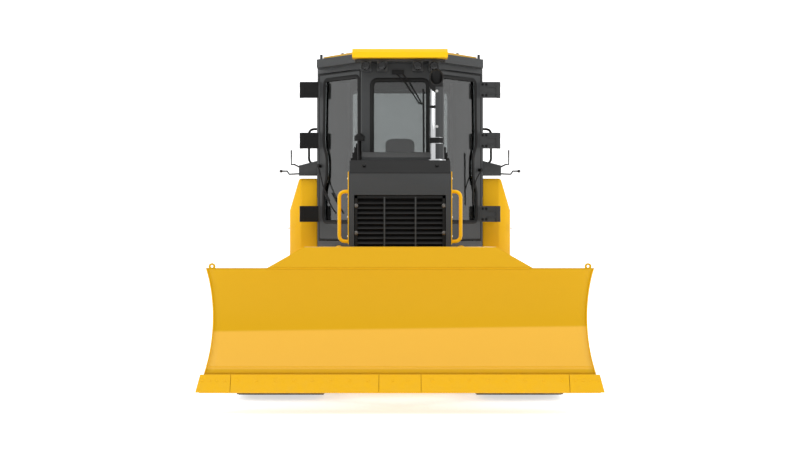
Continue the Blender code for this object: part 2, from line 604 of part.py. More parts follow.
def make_cab():
    plan = mirrored_plan(CAB_PLAN)
    shell = plate("cab_frame", [plan, inset_plan(CAB_PLAN, CAB_WALL)], "Z", CAB_FLOOR, CAB_TOP, GREY)
    floor = plate("floor", [inset_plan(CAB_PLAN, CAB_WALL / 2)], "Z", CAB_FLOOR, CAB_FLOOR + 0.05, GREY)
    join(shell, floor)
    shell = bpy.data.objects["cab_frame"]
    cutters = []
    windscreen = rounded([(-0.262, 1.80), (0.262, 1.80), (0.262, 2.885), (-0.262, 2.885)], 0.06)
    cutters.append(plate("windscreen_cut", [windscreen], "Y", -0.4, 0.0))
    rear = rounded([(-0.50, 1.75), (0.50, 1.75), (0.50, 2.90), (-0.50, 2.90)], 0.06)
    cutters.append(plate("rear_cut", [rear], "Y", 1.2, 1.6))
    flank = rounded([(0.52, 1.80), (1.12, 1.80), (1.12, 2.90), (0.52, 2.90)], 0.06)
    cutters.append(plate("side_cut", [flank], "X", -1.2, 1.2))
    opening = [(0.02, DOOR_BOTTOM - DOOR_GAP), (DOOR_LENGTH - 0.02, DOOR_BOTTOM - DOOR_GAP),
               (DOOR_LENGTH - 0.02, DOOR_TOP + DOOR_GAP), (0.02, DOOR_TOP + DOOR_GAP)]
    door_cut = wall_plate("door_cut", [opening], DOOR_START, DOOR_END, -0.12, 0.06, GREY)
    cutters += [door_cut, twin(door_cut, "door_cut_right")]
    shell = cut(shell, *cutters)

    # what is welded to the cab: hinge brackets, grab handles and the latches that hold the doors open
    added = []
    for side in (-1, 1):
        for low, high in HINGE_BANDS:
            third = (high - low) / 3
            x = sorted((side * 0.79, side * HINGE_X))
            added.append(block("bracket", (x[0], HINGE_Y + 0.005, low + third), (x[1], HINGE_Y + 0.035, high - third)))
            added.append(rod("knuckle", (side * HINGE_X, HINGE_Y, low + third),
                             (side * HINGE_X, HINGE_Y, high - third), HINGE_R - 0.001, GREY, 16))
        loop = [(0.80 + GAP, 2.15), (0.87, 2.15)] + arc((0.87, 2.20), 0.05, -60, 0, 3)
        loop += arc((0.87, 2.45), 0.05, 0, 60, 3) + [(0.87, 2.50), (0.80 + GAP, 2.50)]
        name = "grab_handle_left" if side > 0 else "grab_handle_right"
        pipe(name, [(side * u, 1.15, v) for u, v in loop], 0.012)
        latch = [(0.79, 2.16), (0.79, 2.01), (0.985, 2.01), (0.985, 2.11)]
        latch = [(side * u, v) for u, v in latch]
        added.append(plate("latch", [latch], "Y", 0.50, 0.545))
        added.append(pipe("latch_pin", [(side * 0.97, 0.52, 2.03), (side * 1.08, 0.52, 2.025), (side * 1.10, 0.52, 2.055), (side * 1.16, 0.52, 2.055)], 0.008))
        added.append(pipe("latch_arm", [(side * 0.97, 0.52, 2.09), (side * 1.03, 0.52, 2.12), (side * 1.06, 0.52, 2.12), (side * 1.06, 0.52, 2.26)], 0.008))
    join(shell, *added)

    # glass
    plate("windscreen", [shrink(windscreen, 0.001)], "Y", -0.185, -0.175, GLASS)
    plate("rear_window", [shrink(rear, 0.001)], "Y", 1.385, 1.395, GLASS)
    plate("side_window_left", [shrink(flank, 0.001)], "X", 0.765, 0.775, GLASS)
    twin(bpy.data.objects["side_window_left"], "side_window_right")

    # doors on the slanting walls between the windscreen and the sides
    edge = 0.02 + DOOR_GAP
    outline = [(edge, DOOR_BOTTOM), (DOOR_LENGTH - edge, DOOR_BOTTOM), (DOOR_LENGTH - edge, DOOR_TOP), (edge, DOOR_TOP)]
    hole = rounded(DOOR_GLASS, 0.05)
    door = wall_plate("door_left", [outline, hole], DOOR_START, DOOR_END, -DOOR_THICK, 0.0, GREY)
    hinges = []
    for low, high in HINGE_BANDS:
        third = (high - low) / 3 - GAP
        hinges.append(block("strap", (0.755, HINGE_Y - 0.035, low), (HINGE_X, HINGE_Y - HINGE_R + 0.0005, high)))
        for z in (low, high - third):
            hinges.append(rod("barrel", (HINGE_X, HINGE_Y, z), (HINGE_X, HINGE_Y, z + third), HINGE_R, GREY, 16))
    join(door, *hinges)
    wall_plate("door_glass_left", [shrink(hole, 0.001)], DOOR_START, DOOR_END, -0.028, -0.018, GLASS)
    for name in ("door", "door_glass"):
        twin(bpy.data.objects[name + "_left"], name + "_right")

    # roof: dark gutter frame with the lamp bar, and the yellow cap with its visor
    eaves = [(0.42, -0.27), (0.80, 0.26), (0.80, 1.20), (0.64, 1.46)]
    roof = plate("roof_frame", [mirrored_plan(eaves)], "Z", CAB_TOP + GAP, ROOF_LINE, GREY)
    lamps = []
    for x in (-0.315, -0.165, 0.165, 0.315):
        lamps.append(block("lamp", (x - 0.047, -0.36, CAB_TOP - 0.085), (x + 0.047, -0.255, CAB_TOP + 0.01)))
    lamps.append(block("lamp_bar", (-0.40, -0.33, CAB_TOP + 0.005), (0.40, -0.25, CAB_TOP + 0.028)))
    for side in (-1, 1):
        for x, y in ((0.76, 0.35), (0.55, 0.20), (0.50, 0.20)):
            lamps.append(block("lug", (side * x - 0.012, y, ROOF_LINE - 0.01), (side * x + 0.012, y + 0.06, ROOF_LINE + 0.055)))
    join(roof, *lamps)
    crown = [(0.40, -0.20), (0.74, 0.36), (0.74, 1.16), (0.60, 1.38)]
    cap = plate("roof_cap", [mirrored_plan(crown)], "Z", ROOF_LINE + GAP, ROOF_LINE + 0.03, YELLOW)
    slots = []
    for side in (-1, 1):
        for x, y in ((0.76, 0.35), (0.55, 0.20), (0.50, 0.20)):
            slots.append(block("slot", (side * x - 0.015, y - 0.003, ROOF_LINE - 0.02), (side * x + 0.015, y + 0.063, ROOF_LINE + 0.08)))
    visor = [(-0.275, GAP), (-0.10, GAP), (-0.10, 0.03), (-0.40, 0.035), (-0.45, 0.0), (-0.45, -0.0497), (-0.275, -0.0497)]
    visor = [(y, ROOF_LINE + z) for y, z in visor]
    lip = plate("visor", [visor], "X", -0.44, 0.44, YELLOW)
    cut(cap, *slots)
    join(bpy.data.objects["roof_cap"], lip)

    # inside: seat and dashboard
    seat = block("seat", (-0.25, 0.52, CAB_FLOOR + 0.05 + GAP), (0.25, 0.98, 1.62), FABRIC)
    cushion = block("cushion", (-0.27, 0.45, 1.60), (0.27, 0.98, 1.76), FABRIC)
    back = plate("back", [[(0.88, 1.70), (1.02, 1.70), (1.14, 2.42), (1.02, 2.42)]], "X", -0.26, 0.26, FABRIC)
    soften(join(seat, cushion, back), 0.02, 1)
    dash = plate("dashboard", [[(-0.135, CAB_FLOOR + 0.05 + GAP), (0.02, CAB_FLOOR + 0.05 + GAP), (0.02, 1.95), (-0.05, 2.04), (-0.135, 2.04)]],
                 "X", -0.27, 0.27, BLACK)


def shrink(loop, by):
    """A convex-enough outline moved in a little towards its middle, side by side."""
    points = [Vector(p) for p in loop]
    area = sum(a.x * b.y - b.x * a.y for a, b in zip(points, points[1:] + points[:1]))
    turn = 1 if area > 0 else -1
    out = []
    for i, here in enumerate(points):
        back, ahead = points[i - 1], points[(i + 1) % len(points)]
        a, b = (here - back).normalized(), (ahead - here).normalized()
        na, nb = Vector((-a.y, a.x)) * turn, Vector((-b.y, b.x)) * turn
        out.append(tuple(here + (na + nb) * (by / (1 + na.dot(nb)))))
    return out


# ---------------------------------------------------------------- blade, push frame and yoke
def blade_section():
    """The mouldboard's front line from the cutting edge's tip upwards, in (y, z)."""
    flat_back = FLAT_RISE / math.tan(EDGE_SLOPE)
    start = Vector((BLADE_TIP_Y + flat_back, BLADE_BOTTOM + FLAT_RISE))
    lean = math.pi / 2 - EDGE_SLOPE
    radius = ARC_RISE / 2 / math.sin(lean)
    centre = start + Vector((-math.cos(lean), math.sin(lean))) * radius
    line = [Vector((BLADE_TIP_Y, BLADE_BOTTOM))]
    steps = 14
    for k in range(steps + 1):
        angle = -lean + 2 * lean * k / steps
        line.append(centre + Vector((math.cos(angle), math.sin(angle))) * radius)
    top = line[-1]
    line.append(top + Vector((-math.tan(lean * 0.5), 1)) * SPILL_RISE)
    return line


def offset_line(line, by):
    """The line moved backwards by a wall thickness."""
    out = []
    for i, here in enumerate(line):
        back, ahead = line[max(i - 1, 0)], line[min(i + 1, len(line) - 1)]
        a = (here - back).normalized() if i else (ahead - here).normalized()
        b = (ahead - here).normalized() if i < len(line) - 1 else a
        na, nb = Vector((a.y, -a.x)), Vector((b.y, -b.x))
        out.append(here + (na + nb) * (by / (1 + na.dot(nb))))
    return out


def make_blade():
    front = blade_section()
    back = offset_line(front, BOARD_THICK)
    board_top = BLADE_BOTTOM + FLAT_RISE + ARC_RISE
    top_y = front[-2].x
    section = [tuple(p) for p in front] + [tuple(p) for p in reversed(back)]
    blade = plate("blade", [section], "X", -BLADE_HALF, BLADE_HALF, YELLOW)
    for vertex in blade.data.vertices:
        depth = vertex.co.y - top_y
        side = 1 if vertex.co.x > 0 else -1
        vertex.co.x = side * (BLADE_HALF - END_SLANT * depth)
    # shoulders beside the raised middle
    shoulders = []
    for side in (-1, 1):
        corner = [(SPILL_TOP_HALF, board_top + SPILL_RISE + 0.003), (SPILL_FOOT_HALF, board_top),
                  (2.2, board_top), (2.2, 2.0), (SPILL_TOP_HALF, 2.0)]
        shoulders.append(plate("shoulder", [[(side * u, v) for u, v in corner]], "Y", -3.0, -2.0))
    blade = cut(blade, *shoulders)

    # box beams and uprights that stiffen the back
    rear = -2.015
    deep = max(p.x for p in back)
    ribs = [block("lower_beam", (-BEAM_END, deep - 0.012, 0.38), (BEAM_END, rear, 0.56)),
            block("upper_beam", (-BEAM_END, deep - 0.012, 0.84), (BEAM_END, rear - 0.06, 0.96)),
            block("upright", (-0.28, deep - 0.012, 0.50), (0.28, rear, 0.90)),]
    for x in (-BEAM_END - 0.02, -0.80, 0.80, BEAM_END + 0.02):
        wide = 0.012
        cheek = [(p.x, p.y) for p in back[2:-3]]
        cheek = [(y - 0.006, z) for y, z in cheek]
        cheek += [(rear, 0.90), (rear, 0.40)]
        ribs.append(plate("rib", [cheek], "X", x - wide, x + wide))
    # bearing for the tilting pin and the lug for the tilt cylinder
    blade = join(blade, *ribs)
    pocket_end = -2.10
    socket = rod("socket", (0, pocket_end, TILT_Z), (0, -1.9, TILT_Z), 0.0605, STEEL, 32)
    blade = cut(blade, socket)
    lug_in, lug_out = TILT_CYL_Y - 0.03 - GAP, TILT_CYL_Y + 0.03 + GAP
    arm = block("arm", (TILT_EYE_X - 0.06, deep - 0.012, 0.87), (TILT_EYE_X + 0.06, lug_in, 1.03))
    blade = join(blade, arm)

    # lifting eyes on the top corners
    eyes = []
    for side in (-1, 1):
        x = side * (BLADE_HALF - 0.049)
        ring = rod("eye", (x, top_y + 0.002, board_top + 0.012), (x, top_y + 0.018, board_top + 0.012), 0.028, YELLOW, 16)
        hole = rod("eye_hole", (x, top_y - 0.1, board_top + 0.014), (x, top_y + 0.1, board_top + 0.014), 0.011, YELLOW, 12)
        eyes.append(cut(ring, hole))
    join(blade, *eyes)

    make_cutting_edge()


def make_cutting_edge():
    """Replaceable edge and end bits on the sloping lower front of the board."""
    out = Vector((-math.sin(EDGE_SLOPE), math.cos(EDGE_SLOPE)))
    along = Vector((math.cos(EDGE_SLOPE), math.sin(EDGE_SLOPE)))
    tip = Vector((BLADE_TIP_Y, BLADE_BOTTOM)) + out * GAP
    height = EDGE_HEIGHT / math.sin(EDGE_SLOPE)
    section = [tip, tip + along * height, tip + along * (height - 0.01) + out * EDGE_THICK,
               tip + out * EDGE_THICK - along * 0.012]
    section[-1] = Vector((section[-1].x, BLADE_BOTTOM))
    edge = plate("cutting_edge", [[tuple(p) for p in section]], "X", -END_BIT_HALF, END_BIT_HALF, YELLOW)
    for vertex in edge.data.vertices:
        rise = (vertex.co.z - BLADE_BOTTOM) / EDGE_HEIGHT
        side = 1 if vertex.co.x > 0 else -1
        vertex.co.x = side * (END_BIT_HALF - 0.03 * rise)


def make_push_frame():
    nose_half, nose_r = 0.09, 0.09
    half_out = [(ARM_OUT, 0.0), (ARM_OUT, -1.42), (nose_half + 0.02, -1.77)]
    nose = arc((0, PIN_Y), nose_r, 0, -180, 12)
    right_out = [(-x, y) for x, y in reversed(half_out)]
    half_in = [(-ARM_IN, 0.0), (-ARM_IN, -1.34), (-0.06, -1.62), (0.06, -1.62), (ARM_IN, -1.34), (ARM_IN, 0.0)]
    outline = half_out + nose + right_out + half_in
    frame = plate("push_frame", [outline], "Z", ARM_BOTTOM, ARM_TOP, YELLOW)
    added = []
    for side in (-1, 1):
        y, z = LIFT_EYE
        for x in (0.5247, 0.6053):
            wide = 0.0100 - GAP
            ear = rounded([(y - 0.07, 0.58), (y + 0.07, 0.58), (y + 0.05, z + 0.05), (y - 0.05, z + 0.05)], 0.02, 2)
            added.append(plate("ear", [ear], "X", side * x - wide, side * x + wide))
        x, y = ANGLE_FOOT
        for low, high in ((ANGLE_Z - 0.055, ANGLE_Z - 0.03 - GAP), (ANGLE_Z + 0.03 + GAP, ANGLE_Z + 0.055)):
            added.append(block("tongue", (side * x - 0.05, y - 0.045, low), (side * x + 0.05, y + 0.095, high)))
        added.append(block("web", (side * x - 0.05, y + 0.055, 0.58), (side * x + 0.05, y + 0.095, ANGLE_Z + 0.05)))
    frame = join(frame, *added)
    holes = [rod("pin_hole", (-0.8, PIVOT_Y, PIVOT_Z), (0.8, PIVOT_Y, PIVOT_Z), 0.0455, STEEL, 24),
             rod("nose_hole", (0, PIN_Y, 0.3), (0, PIN_Y, 0.8), 0.0405, STEEL, 24)]
    cut(frame, *holes)

    # yoke: turns on the upright pin and carries the blade on the tilting pin
    back, front = -1.945, -1.99
    yoke = block("yoke", (-0.16, front, 0.34), (0.16, back, 0.80), YELLOW)
    pieces = [block("lower_lug", (-0.09, back - 0.01, 0.34), (0.09, -1.72, ARM_BOTTOM - GAP)),
              block("upper_lug", (-0.09, back - 0.01, ARM_TOP + GAP), (0.09, -1.72, 0.66)),
              rod("upright_pin", (0, PIN_Y, 0.35), (0, PIN_Y, 0.65), 0.04, STEEL, 24),
              block("cross_bar", (-0.43, front, 0.62), (0.43, back, 0.76)),
              block("tower", (TILT_FOOT_X - 0.045, front, 0.70), (TILT_FOOT_X + 0.045, TILT_CYL_Y - 0.03 - GAP, 1.01)),
              rod("tilt_pin", (0, back, TILT_Z), (0, -2.095, TILT_Z), 0.06, STEEL, 32)]
    for side in (-1, 1):
        x, y = ANGLE_EYE
        for low, high in ((ANGLE_Z - 0.05, ANGLE_Z - 0.03 - GAP), (ANGLE_Z + 0.03 + GAP, ANGLE_Z + 0.05)):
            pieces.append(block("lug", (side * x - 0.055, back - 0.01, low), (side * x + 0.055, y + 0.035, high)))
    join(yoke, *pieces)


# ---------------------------------------------------------------- hydraulic cylinders
def make_cylinder(name, foot, eye, body_from, body_to, body_r, rod_r, rod_length, bore_from, eye_axis, trunnion=None):
    """A barrel that starts at foot and a rod that ends in an eye, on one line."""
    foot, eye = Vector(foot), Vector(eye)
    along = (eye - foot).normalized()
    axis = Vector(eye_axis)
    barrel = rod(name + "_barrel", foot + along * body_from, foot + along * body_to, body_r, YELLOW, 24)
    extra = []
    if trunnion:
        extra.append(rod("trunnion", foot, foot + Vector(trunnion), 0.04, STEEL, 20))
        extra.append(rod("band", foot - along * 0.05, foot + along * 0.05, body_r + 0.012, YELLOW, 24))
    else:
        extra.append(rod("foot_eye", foot - axis * 0.03, foot + axis * 0.03, 0.045, STEEL, 20))
        extra.append(rod("foot_neck", foot, foot + along * (body_from + 0.02), 0.03, STEEL, 16))
    extra.append(rod("gland", foot + along * (body_to - 0.045), foot + along * body_to, body_r + 0.006, STEEL, 24))
    barrel = join(barrel, *extra)
    cut(barrel, rod("bore", foot + along * bore_from, foot + along * (body_to + 0.1), rod_r + 0.0005, STEEL, 20))
    length = (eye - foot).length
    piston = rod(name + "_rod", foot + along * (length - rod_length), eye, rod_r, CHROME, 20)
    end = rod("eye", eye - axis * 0.03, eye + axis * 0.03, 0.045, CHROME, 20)
    join(piston, end)


def make_cylinders():
    top = (CYL_X, *LIFT_TOP)
    low = (CYL_X, *LIFT_EYE)
    make_cylinder("lift_left", top, low, -0.31, 0.24, 0.048, 0.025, 0.58, -0.29, (1, 0, 0), (-(CYL_X - 0.50 - GAP), 0, 0))
    foot = (*ANGLE_FOOT, ANGLE_Z)
    eye = (*ANGLE_EYE, ANGLE_Z)
    make_cylinder("angle_left", foot, eye, 0.06, 0.48, 0.042, 0.022, 0.49, 0.085, (0, 0, 1))
    for name in ("lift", "angle"):
        for piece in ("barrel", "rod"):
            twin(bpy.data.objects[f"{name}_left_{piece}"], f"{name}_right_{piece}")
    foot = (TILT_FOOT_X, TILT_CYL_Y, TILT_CYL_Z)
    eye = (TILT_EYE_X, TILT_CYL_Y, TILT_CYL_Z)
    make_cylinder("tilt", foot, eye, 0.05, 0.42, 0.045, 0.022, 0.38, 0.18, (0, 1, 0))


make_undercarriage()
make_main_frame()
make_deck()
make_hood()
make_cab()
make_blade()
make_push_frame()
make_cylinders()
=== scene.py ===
# %% [markdown]
# # A crawler bulldozer, finished for the studio
# The machine's solid parts come from its mechanical model, already in metres and in the right place.
# This lesson dresses them: it rounds their edges, gives them paint, steel, rubber and glass, and adds
# the small parts that the mechanical model leaves out, such as bolts, seals, wipers, lamps and shoes.

# %% Load the machine
import json

import bmesh
import bpy
import numpy as np
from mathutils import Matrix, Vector


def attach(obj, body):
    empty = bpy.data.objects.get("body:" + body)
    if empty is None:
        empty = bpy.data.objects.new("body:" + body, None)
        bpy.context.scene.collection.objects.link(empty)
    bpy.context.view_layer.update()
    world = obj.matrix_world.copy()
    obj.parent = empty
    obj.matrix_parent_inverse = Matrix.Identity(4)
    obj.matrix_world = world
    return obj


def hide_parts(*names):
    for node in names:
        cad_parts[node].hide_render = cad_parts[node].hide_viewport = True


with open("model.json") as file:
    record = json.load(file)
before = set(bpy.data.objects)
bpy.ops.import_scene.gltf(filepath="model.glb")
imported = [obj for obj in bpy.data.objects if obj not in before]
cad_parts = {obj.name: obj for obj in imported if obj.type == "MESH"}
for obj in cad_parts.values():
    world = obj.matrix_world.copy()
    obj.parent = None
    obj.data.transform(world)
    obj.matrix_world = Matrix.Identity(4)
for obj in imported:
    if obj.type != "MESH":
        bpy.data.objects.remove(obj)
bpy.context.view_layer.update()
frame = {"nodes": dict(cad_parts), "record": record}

# %% [markdown]
# ## Camera, floor and light
# A long lens far away keeps the machine's upright lines upright. The camera stands on the centre line
# at chest height, so the blade is seen square on. One sheet of pale floor and large soft lamps give
# the even light of a product picture.


# %% Camera
def new_object(name, data):
    """An object in the scene that shows the given data."""
    obj = bpy.data.objects.new(name, data)
    bpy.context.scene.collection.objects.link(obj)
    return obj


camera_data = bpy.data.cameras.new("camera")
camera_data.sensor_width = 36.0
camera_data.lens = 78.08
camera = new_object("camera", camera_data)
camera.location = (0.0, -16.40, 1.53)
camera.rotation_euler = (np.radians(90.0), 0.0, 0.0)
bpy.context.scene.camera = camera


# %% Floor and lamps
def feed(tree, node, entries):
    """Each entry of a node set to a value, or wired to a (node, output) pair."""
    for entry, source in entries.items():
        if isinstance(source, tuple) and isinstance(source[0], bpy.types.Node):
            tree.links.new(source[0].outputs[source[1]], node.inputs[entry])
        else:
            node.inputs[entry].default_value = source
    return node


FLOOR_REACH, WALL_START_Y, WALL_CURVE, WALL_TOP = 70.0, 50.0, 10.0, 50.0
sweep = np.linspace(0, np.pi / 2, 17)
curve = np.c_[WALL_START_Y + WALL_CURVE * np.sin(sweep), WALL_CURVE * (1 - np.cos(sweep))]
sweep_line = np.vstack([[(-FLOOR_REACH, 0.0)], curve, [(WALL_START_Y + WALL_CURVE, WALL_TOP)]])
sweep_points = [(x, y, z) for y, z in sweep_line for x in (-FLOOR_REACH, FLOOR_REACH)]
sweep_faces = [(2 * i, 2 * i + 1, 2 * i + 3, 2 * i + 2) for i in range(len(sweep_line) - 1)]
floor_mesh = bpy.data.meshes.new("floor")
floor_mesh.from_pydata(sweep_points, [], sweep_faces)
floor_mesh.shade_smooth()
floor_paint = bpy.data.materials.new("pale_floor")
floor_paint.use_nodes = True
feed(floor_paint.node_tree, floor_paint.node_tree.nodes["Principled BSDF"],
     {"Base Color": (0.86, 0.86, 0.86, 1), "Roughness": 0.75,
      "Emission Color": (1, 1, 1, 1), "Emission Strength": 0.6})
floor_mesh.materials.append(floor_paint)
floor = new_object("floor", floor_mesh)

world = bpy.data.worlds.new("studio")
world.use_nodes = True
feed(world.node_tree, world.node_tree.nodes["Background"], {"Color": (1, 1, 1, 1), "Strength": 0.8})
bpy.context.scene.world = world
bpy.context.scene.view_settings.view_transform = "Standard"


def soft_lamp(name, place, target, size, power):
    """A square area lamp at place that faces target."""
    light = bpy.data.lights.new(name, "AREA")
    light.size = size
    light.energy = power
    lamp = new_object(name, light)
    lamp.location = place
    lamp.rotation_euler = (Vector(target) - Vector(place)).to_track_quat("-Z", "Y").to_euler()


soft_lamp("key", (-6.5, -7.0, 8.0), (0, -0.5, 1.3), 4.0, 130)
soft_lamp("fill", (7.5, -5.0, 4.0), (0, -0.5, 1.3), 4.5, 60)
soft_lamp("top", (0.0, -3.5, 8.0), (0, -1.5, 1.0), 5.0, 150)
soft_lamp("back", (2.0, 8.0, 6.0), (0, 1.0, 1.5), 4.0, 110)

# %% [markdown]
# ## Small tools for surfaces
# Each new shape is a table of points: rows run along the shape and columns run round it. One function
# turns such tables into a mesh, and the others work out tables for bars, turned parts, boxes and bolts.

# %% Meshes from tables of points
SIDES = (("left", 1), ("right", -1))
FRONT, REAR, UP, ORIGIN = (0.0, -1.0, 0.0), (0.0, 1.0, 0.0), (0.0, 0.0, 1.0), (0.0, 0.0, 0.0)


def new_piece(name, tables, finish, body="chassis", smooth=True, angle=35.0, rounding=0.0, segments=2):
    """One mesh from several (points, faces) tables, with a finish and rounded edges, riding on a body."""
    points, faces = gathered(tables)
    mesh = bpy.data.meshes.new(name)
    mesh.from_pydata(points.tolist(), [], faces)
    work = bmesh.new()
    work.from_mesh(mesh)
    bmesh.ops.remove_doubles(work, verts=work.verts, dist=1e-6)
    bmesh.ops.dissolve_degenerate(work, edges=work.edges, dist=1e-7)
    bmesh.ops.recalc_face_normals(work, faces=work.faces)
    work.to_mesh(mesh)
    work.free()
    mesh.materials.append(finish)
    obj = new_object(name, mesh)
    if smooth:
        mesh.shade_smooth()
        mesh.set_sharp_from_angle(angle=np.radians(angle))
    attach(obj, body)
    if rounding:
        round_edges(obj, rounding, segments)
    return obj


def round_edges(obj, width, segments=2):
    """A live bevel on the sharp edges of obj."""
    edge = obj.modifiers.new("rounded", "BEVEL")
    edge.width = width
    edge.segments = segments
    edge.limit_method = "ANGLE"
    edge.angle_limit = np.radians(35)
    edge.harden_normals = True


def table_faces(rows, columns, wrap_rows=False, wrap_columns=False):
    """Four corners for each cell of a table with rows x columns points."""
    i, j = np.meshgrid(np.arange(rows - (not wrap_rows)), np.arange(columns - (not wrap_columns)), indexing="ij")
    k, m = (i + 1) % rows, (j + 1) % columns
    return np.stack([i * columns + j, k * columns + j, k * columns + m, i * columns + m], -1).reshape(-1, 4)


def bar_table(path, radius, sides=12):
    """A round bar: circles of the given radius at each point of the path, closed to a point at both ends."""
    path = np.asarray(path, float)
    along = np.gradient(path, axis=0)
    along = np.vstack([along[:1], along, along[-1:]])
    along /= np.linalg.norm(along, axis=1, keepdims=True)
    path = np.vstack([path[:1], path, path[-1:]])
    least = np.eye(3)[np.argmin(np.ptp(path, axis=0))] + 1e-4
    across = np.cross(along, least)
    across /= np.linalg.norm(across, axis=1, keepdims=True)
    other = np.cross(along, across)
    turn = np.linspace(0, 2 * np.pi, sides, endpoint=False)
    ring = across[:, None] * np.cos(turn)[None, :, None] + other[:, None] * np.sin(turn)[None, :, None]
    reach = radius * np.r_[0.0, np.ones(len(path) - 2), 0.0]
    points = path[:, None] + ring * reach[:, None, None]
    return points.reshape(-1, 3), table_faces(len(path), sides, wrap_columns=True)


def turned_table(profile, sides=32, centre=ORIGIN, axis=UP, closed=False):
    """A turned part: (radius, height) pairs carried round an axis; a closed profile makes a ring."""
    profile = np.asarray(profile, float)
    axis = np.asarray(axis, float) / np.linalg.norm(axis)
    across = np.cross(axis, (0.31, 0.17, 0.93) if abs(axis[2]) < 0.9 else (1.0, 0.0, 0.0))
    across /= np.linalg.norm(across)
    other = np.cross(axis, across)
    turn = np.linspace(0, 2 * np.pi, sides, endpoint=False) + np.pi / sides
    ring = across * np.cos(turn)[:, None] + other * np.sin(turn)[:, None]
    radius, height = profile.T[:, :, None, None]
    points = np.asarray(centre, float) + axis * height + ring[None] * radius
    return points.reshape(-1, 3), table_faces(len(profile), sides, wrap_rows=closed, wrap_columns=True)


def gathered(tables):
    """Several (points, faces) tables as one."""
    points, faces, start = [], [], 0
    for table_points, table in tables:
        points.append(np.asarray(table_points, float))
        faces += [tuple(int(v) + start for v in face) for face in table]
        start += len(table_points)
    return np.vstack(points), faces


def scattered(table, places, turns=None):
    """Copies of a small table at many places, each turned by its own 3 x 3 matrix."""
    points, faces = np.asarray(table[0], float), np.asarray(table[1])
    places = np.asarray(places, float)
    turns = np.broadcast_to(np.eye(3), (len(places), 3, 3)) if turns is None else turns
    moved = np.einsum("nij,kj->nki", turns, points) + places[:, None]
    many = faces[None] + (np.arange(len(places)) * len(points))[:, None, None]
    return moved.reshape(-1, 3), many.reshape(-1, faces.shape[1])


CORNERS = np.array([(x, y, z) for x in (-1, 1) for y in (-1, 1) for z in (-1, 1)], float)
BOX_FACES = np.array([(0, 1, 3, 2), (4, 6, 7, 5), (0, 4, 5, 1), (2, 3, 7, 6), (0, 2, 6, 4), (1, 5, 7, 3)])


def box_table(first, second):
    """A box between two opposite corners."""
    low, high = np.minimum(first, second), np.maximum(first, second)
    return (low + high) / 2 + CORNERS * (high - low) / 2, BOX_FACES


def prism_table(outline, low, high, axis):
    """A flat outline carried from low to high along axis 0, 1 or 2."""
    outline = np.asarray(outline, float)
    count = len(outline)
    ends = [np.insert(outline, axis, value, axis=1) for value in (low, high)]
    sides = table_faces(2, count, wrap_columns=True)
    caps = [tuple(range(count)), tuple(range(2 * count - 1, count - 1, -1))]
    return np.vstack(ends), [tuple(f) for f in sides] + caps


def scattered_prism(outline, low, high, places, turns):
    """Copies of a prism along x, as one table for its sides and one for its two end caps."""
    points, faces = prism_table(outline, low, high, 0)
    return [scattered((points, faces[:-2]), places, turns), scattered((points, faces[-2:]), places, turns)]


def rectangle(left, low, right, high):
    """The four corners of an upright rectangle, anticlockwise."""
    return [(left, low), (right, low), (right, high), (left, high)]


def rounded_outline(corners, radius, steps=5):
    """Corners of an outline replaced by curved ones: a quadratic curve between two points near each."""
    corners = np.asarray(corners, float)
    back, ahead = np.roll(corners, 1, 0) - corners, np.roll(corners, -1, 0) - corners
    back_length, ahead_length = (np.linalg.norm(v, axis=1, keepdims=True) for v in (back, ahead))
    reach = np.minimum(radius, 0.45 * np.minimum(back_length, ahead_length))
    start, end = corners + back / back_length * reach, corners + ahead / ahead_length * reach
    t = np.linspace(0, 1, steps + 1)[None, :, None]
    curve = start[:, None] * (1 - t) ** 2 + corners[:, None] * 2 * t * (1 - t) + end[:, None] * t ** 2
    return curve.reshape(-1, 2)


def facing(normals):
    """Matrices that turn +Z to each of the given directions."""
    normals = np.asarray(normals, float)
    normals = normals / np.linalg.norm(normals, axis=1, keepdims=True)
    guide = np.where(np.abs(normals[:, 2:]) < 0.9, [[0, 0, 1.0]], [[1.0, 0, 0]])
    across = np.cross(guide, normals)
    across /= np.linalg.norm(across, axis=1, keepdims=True)
    return np.stack([across, np.cross(normals, across), normals], -1)


def stood(table, places, normals):
    """Copies of a table at places, each standing along its normal, or all along one normal."""
    return scattered(table, places, facing(np.broadcast_to(np.asarray(normals, float), (len(places), 3))))


def outwards(places):
    """For each place the direction along x that points away from the centre line."""
    return [(np.sign(x), 0.0, 0.0) for x, _, _ in places]


def bolts(name, places, normals, radius, finish, body="chassis"):
    """Hexagon heads on round washers at places, each standing along its normal."""
    washer = turned_table(np.array([(0, 0), (1.35, 0), (1.35, 0.22), (0, 0.22)]) * radius, 12)
    head = turned_table(np.array([(0, 0.15), (1, 0.15), (1, 0.75), (0.82, 0.9), (0, 0.9)]) * radius, 6)
    return new_piece(name, [stood(gathered([washer, head]), places, normals)], finish, body, angle=30)


print("surface tools ready")

# %% [markdown]
# ## Effects that several finishes share
# Machine paint is never one colour: it fades a little, gathers dust low down and near the tracks, and
# its surface has a faint orange-peel ripple. These effects are node groups, each built once and placed
# in a material with its own values.

# %% Node groups
FLOAT, COLOUR = "NodeSocketFloat", "NodeSocketColor"
MIX_FACTOR, MIX_FIRST, MIX_SECOND, MIX_RESULT = 0, 6, 7, 2


def node_group(name, inputs, outputs):
    """A shader group with (name, type, value) inputs and (name, type) outputs, and its first three nodes."""
    group = bpy.data.node_groups.new(name, "ShaderNodeTree")
    for label, kind, value in inputs:
        group.interface.new_socket(label, in_out="INPUT", socket_type=kind).default_value = value
    for label, kind in outputs:
        group.interface.new_socket(label, in_out="OUTPUT", socket_type=kind)
    entry, way_out = group.nodes.new("NodeGroupInput"), group.nodes.new("NodeGroupOutput")
    return group, entry, way_out, group.nodes.new("ShaderNodeTexCoord")


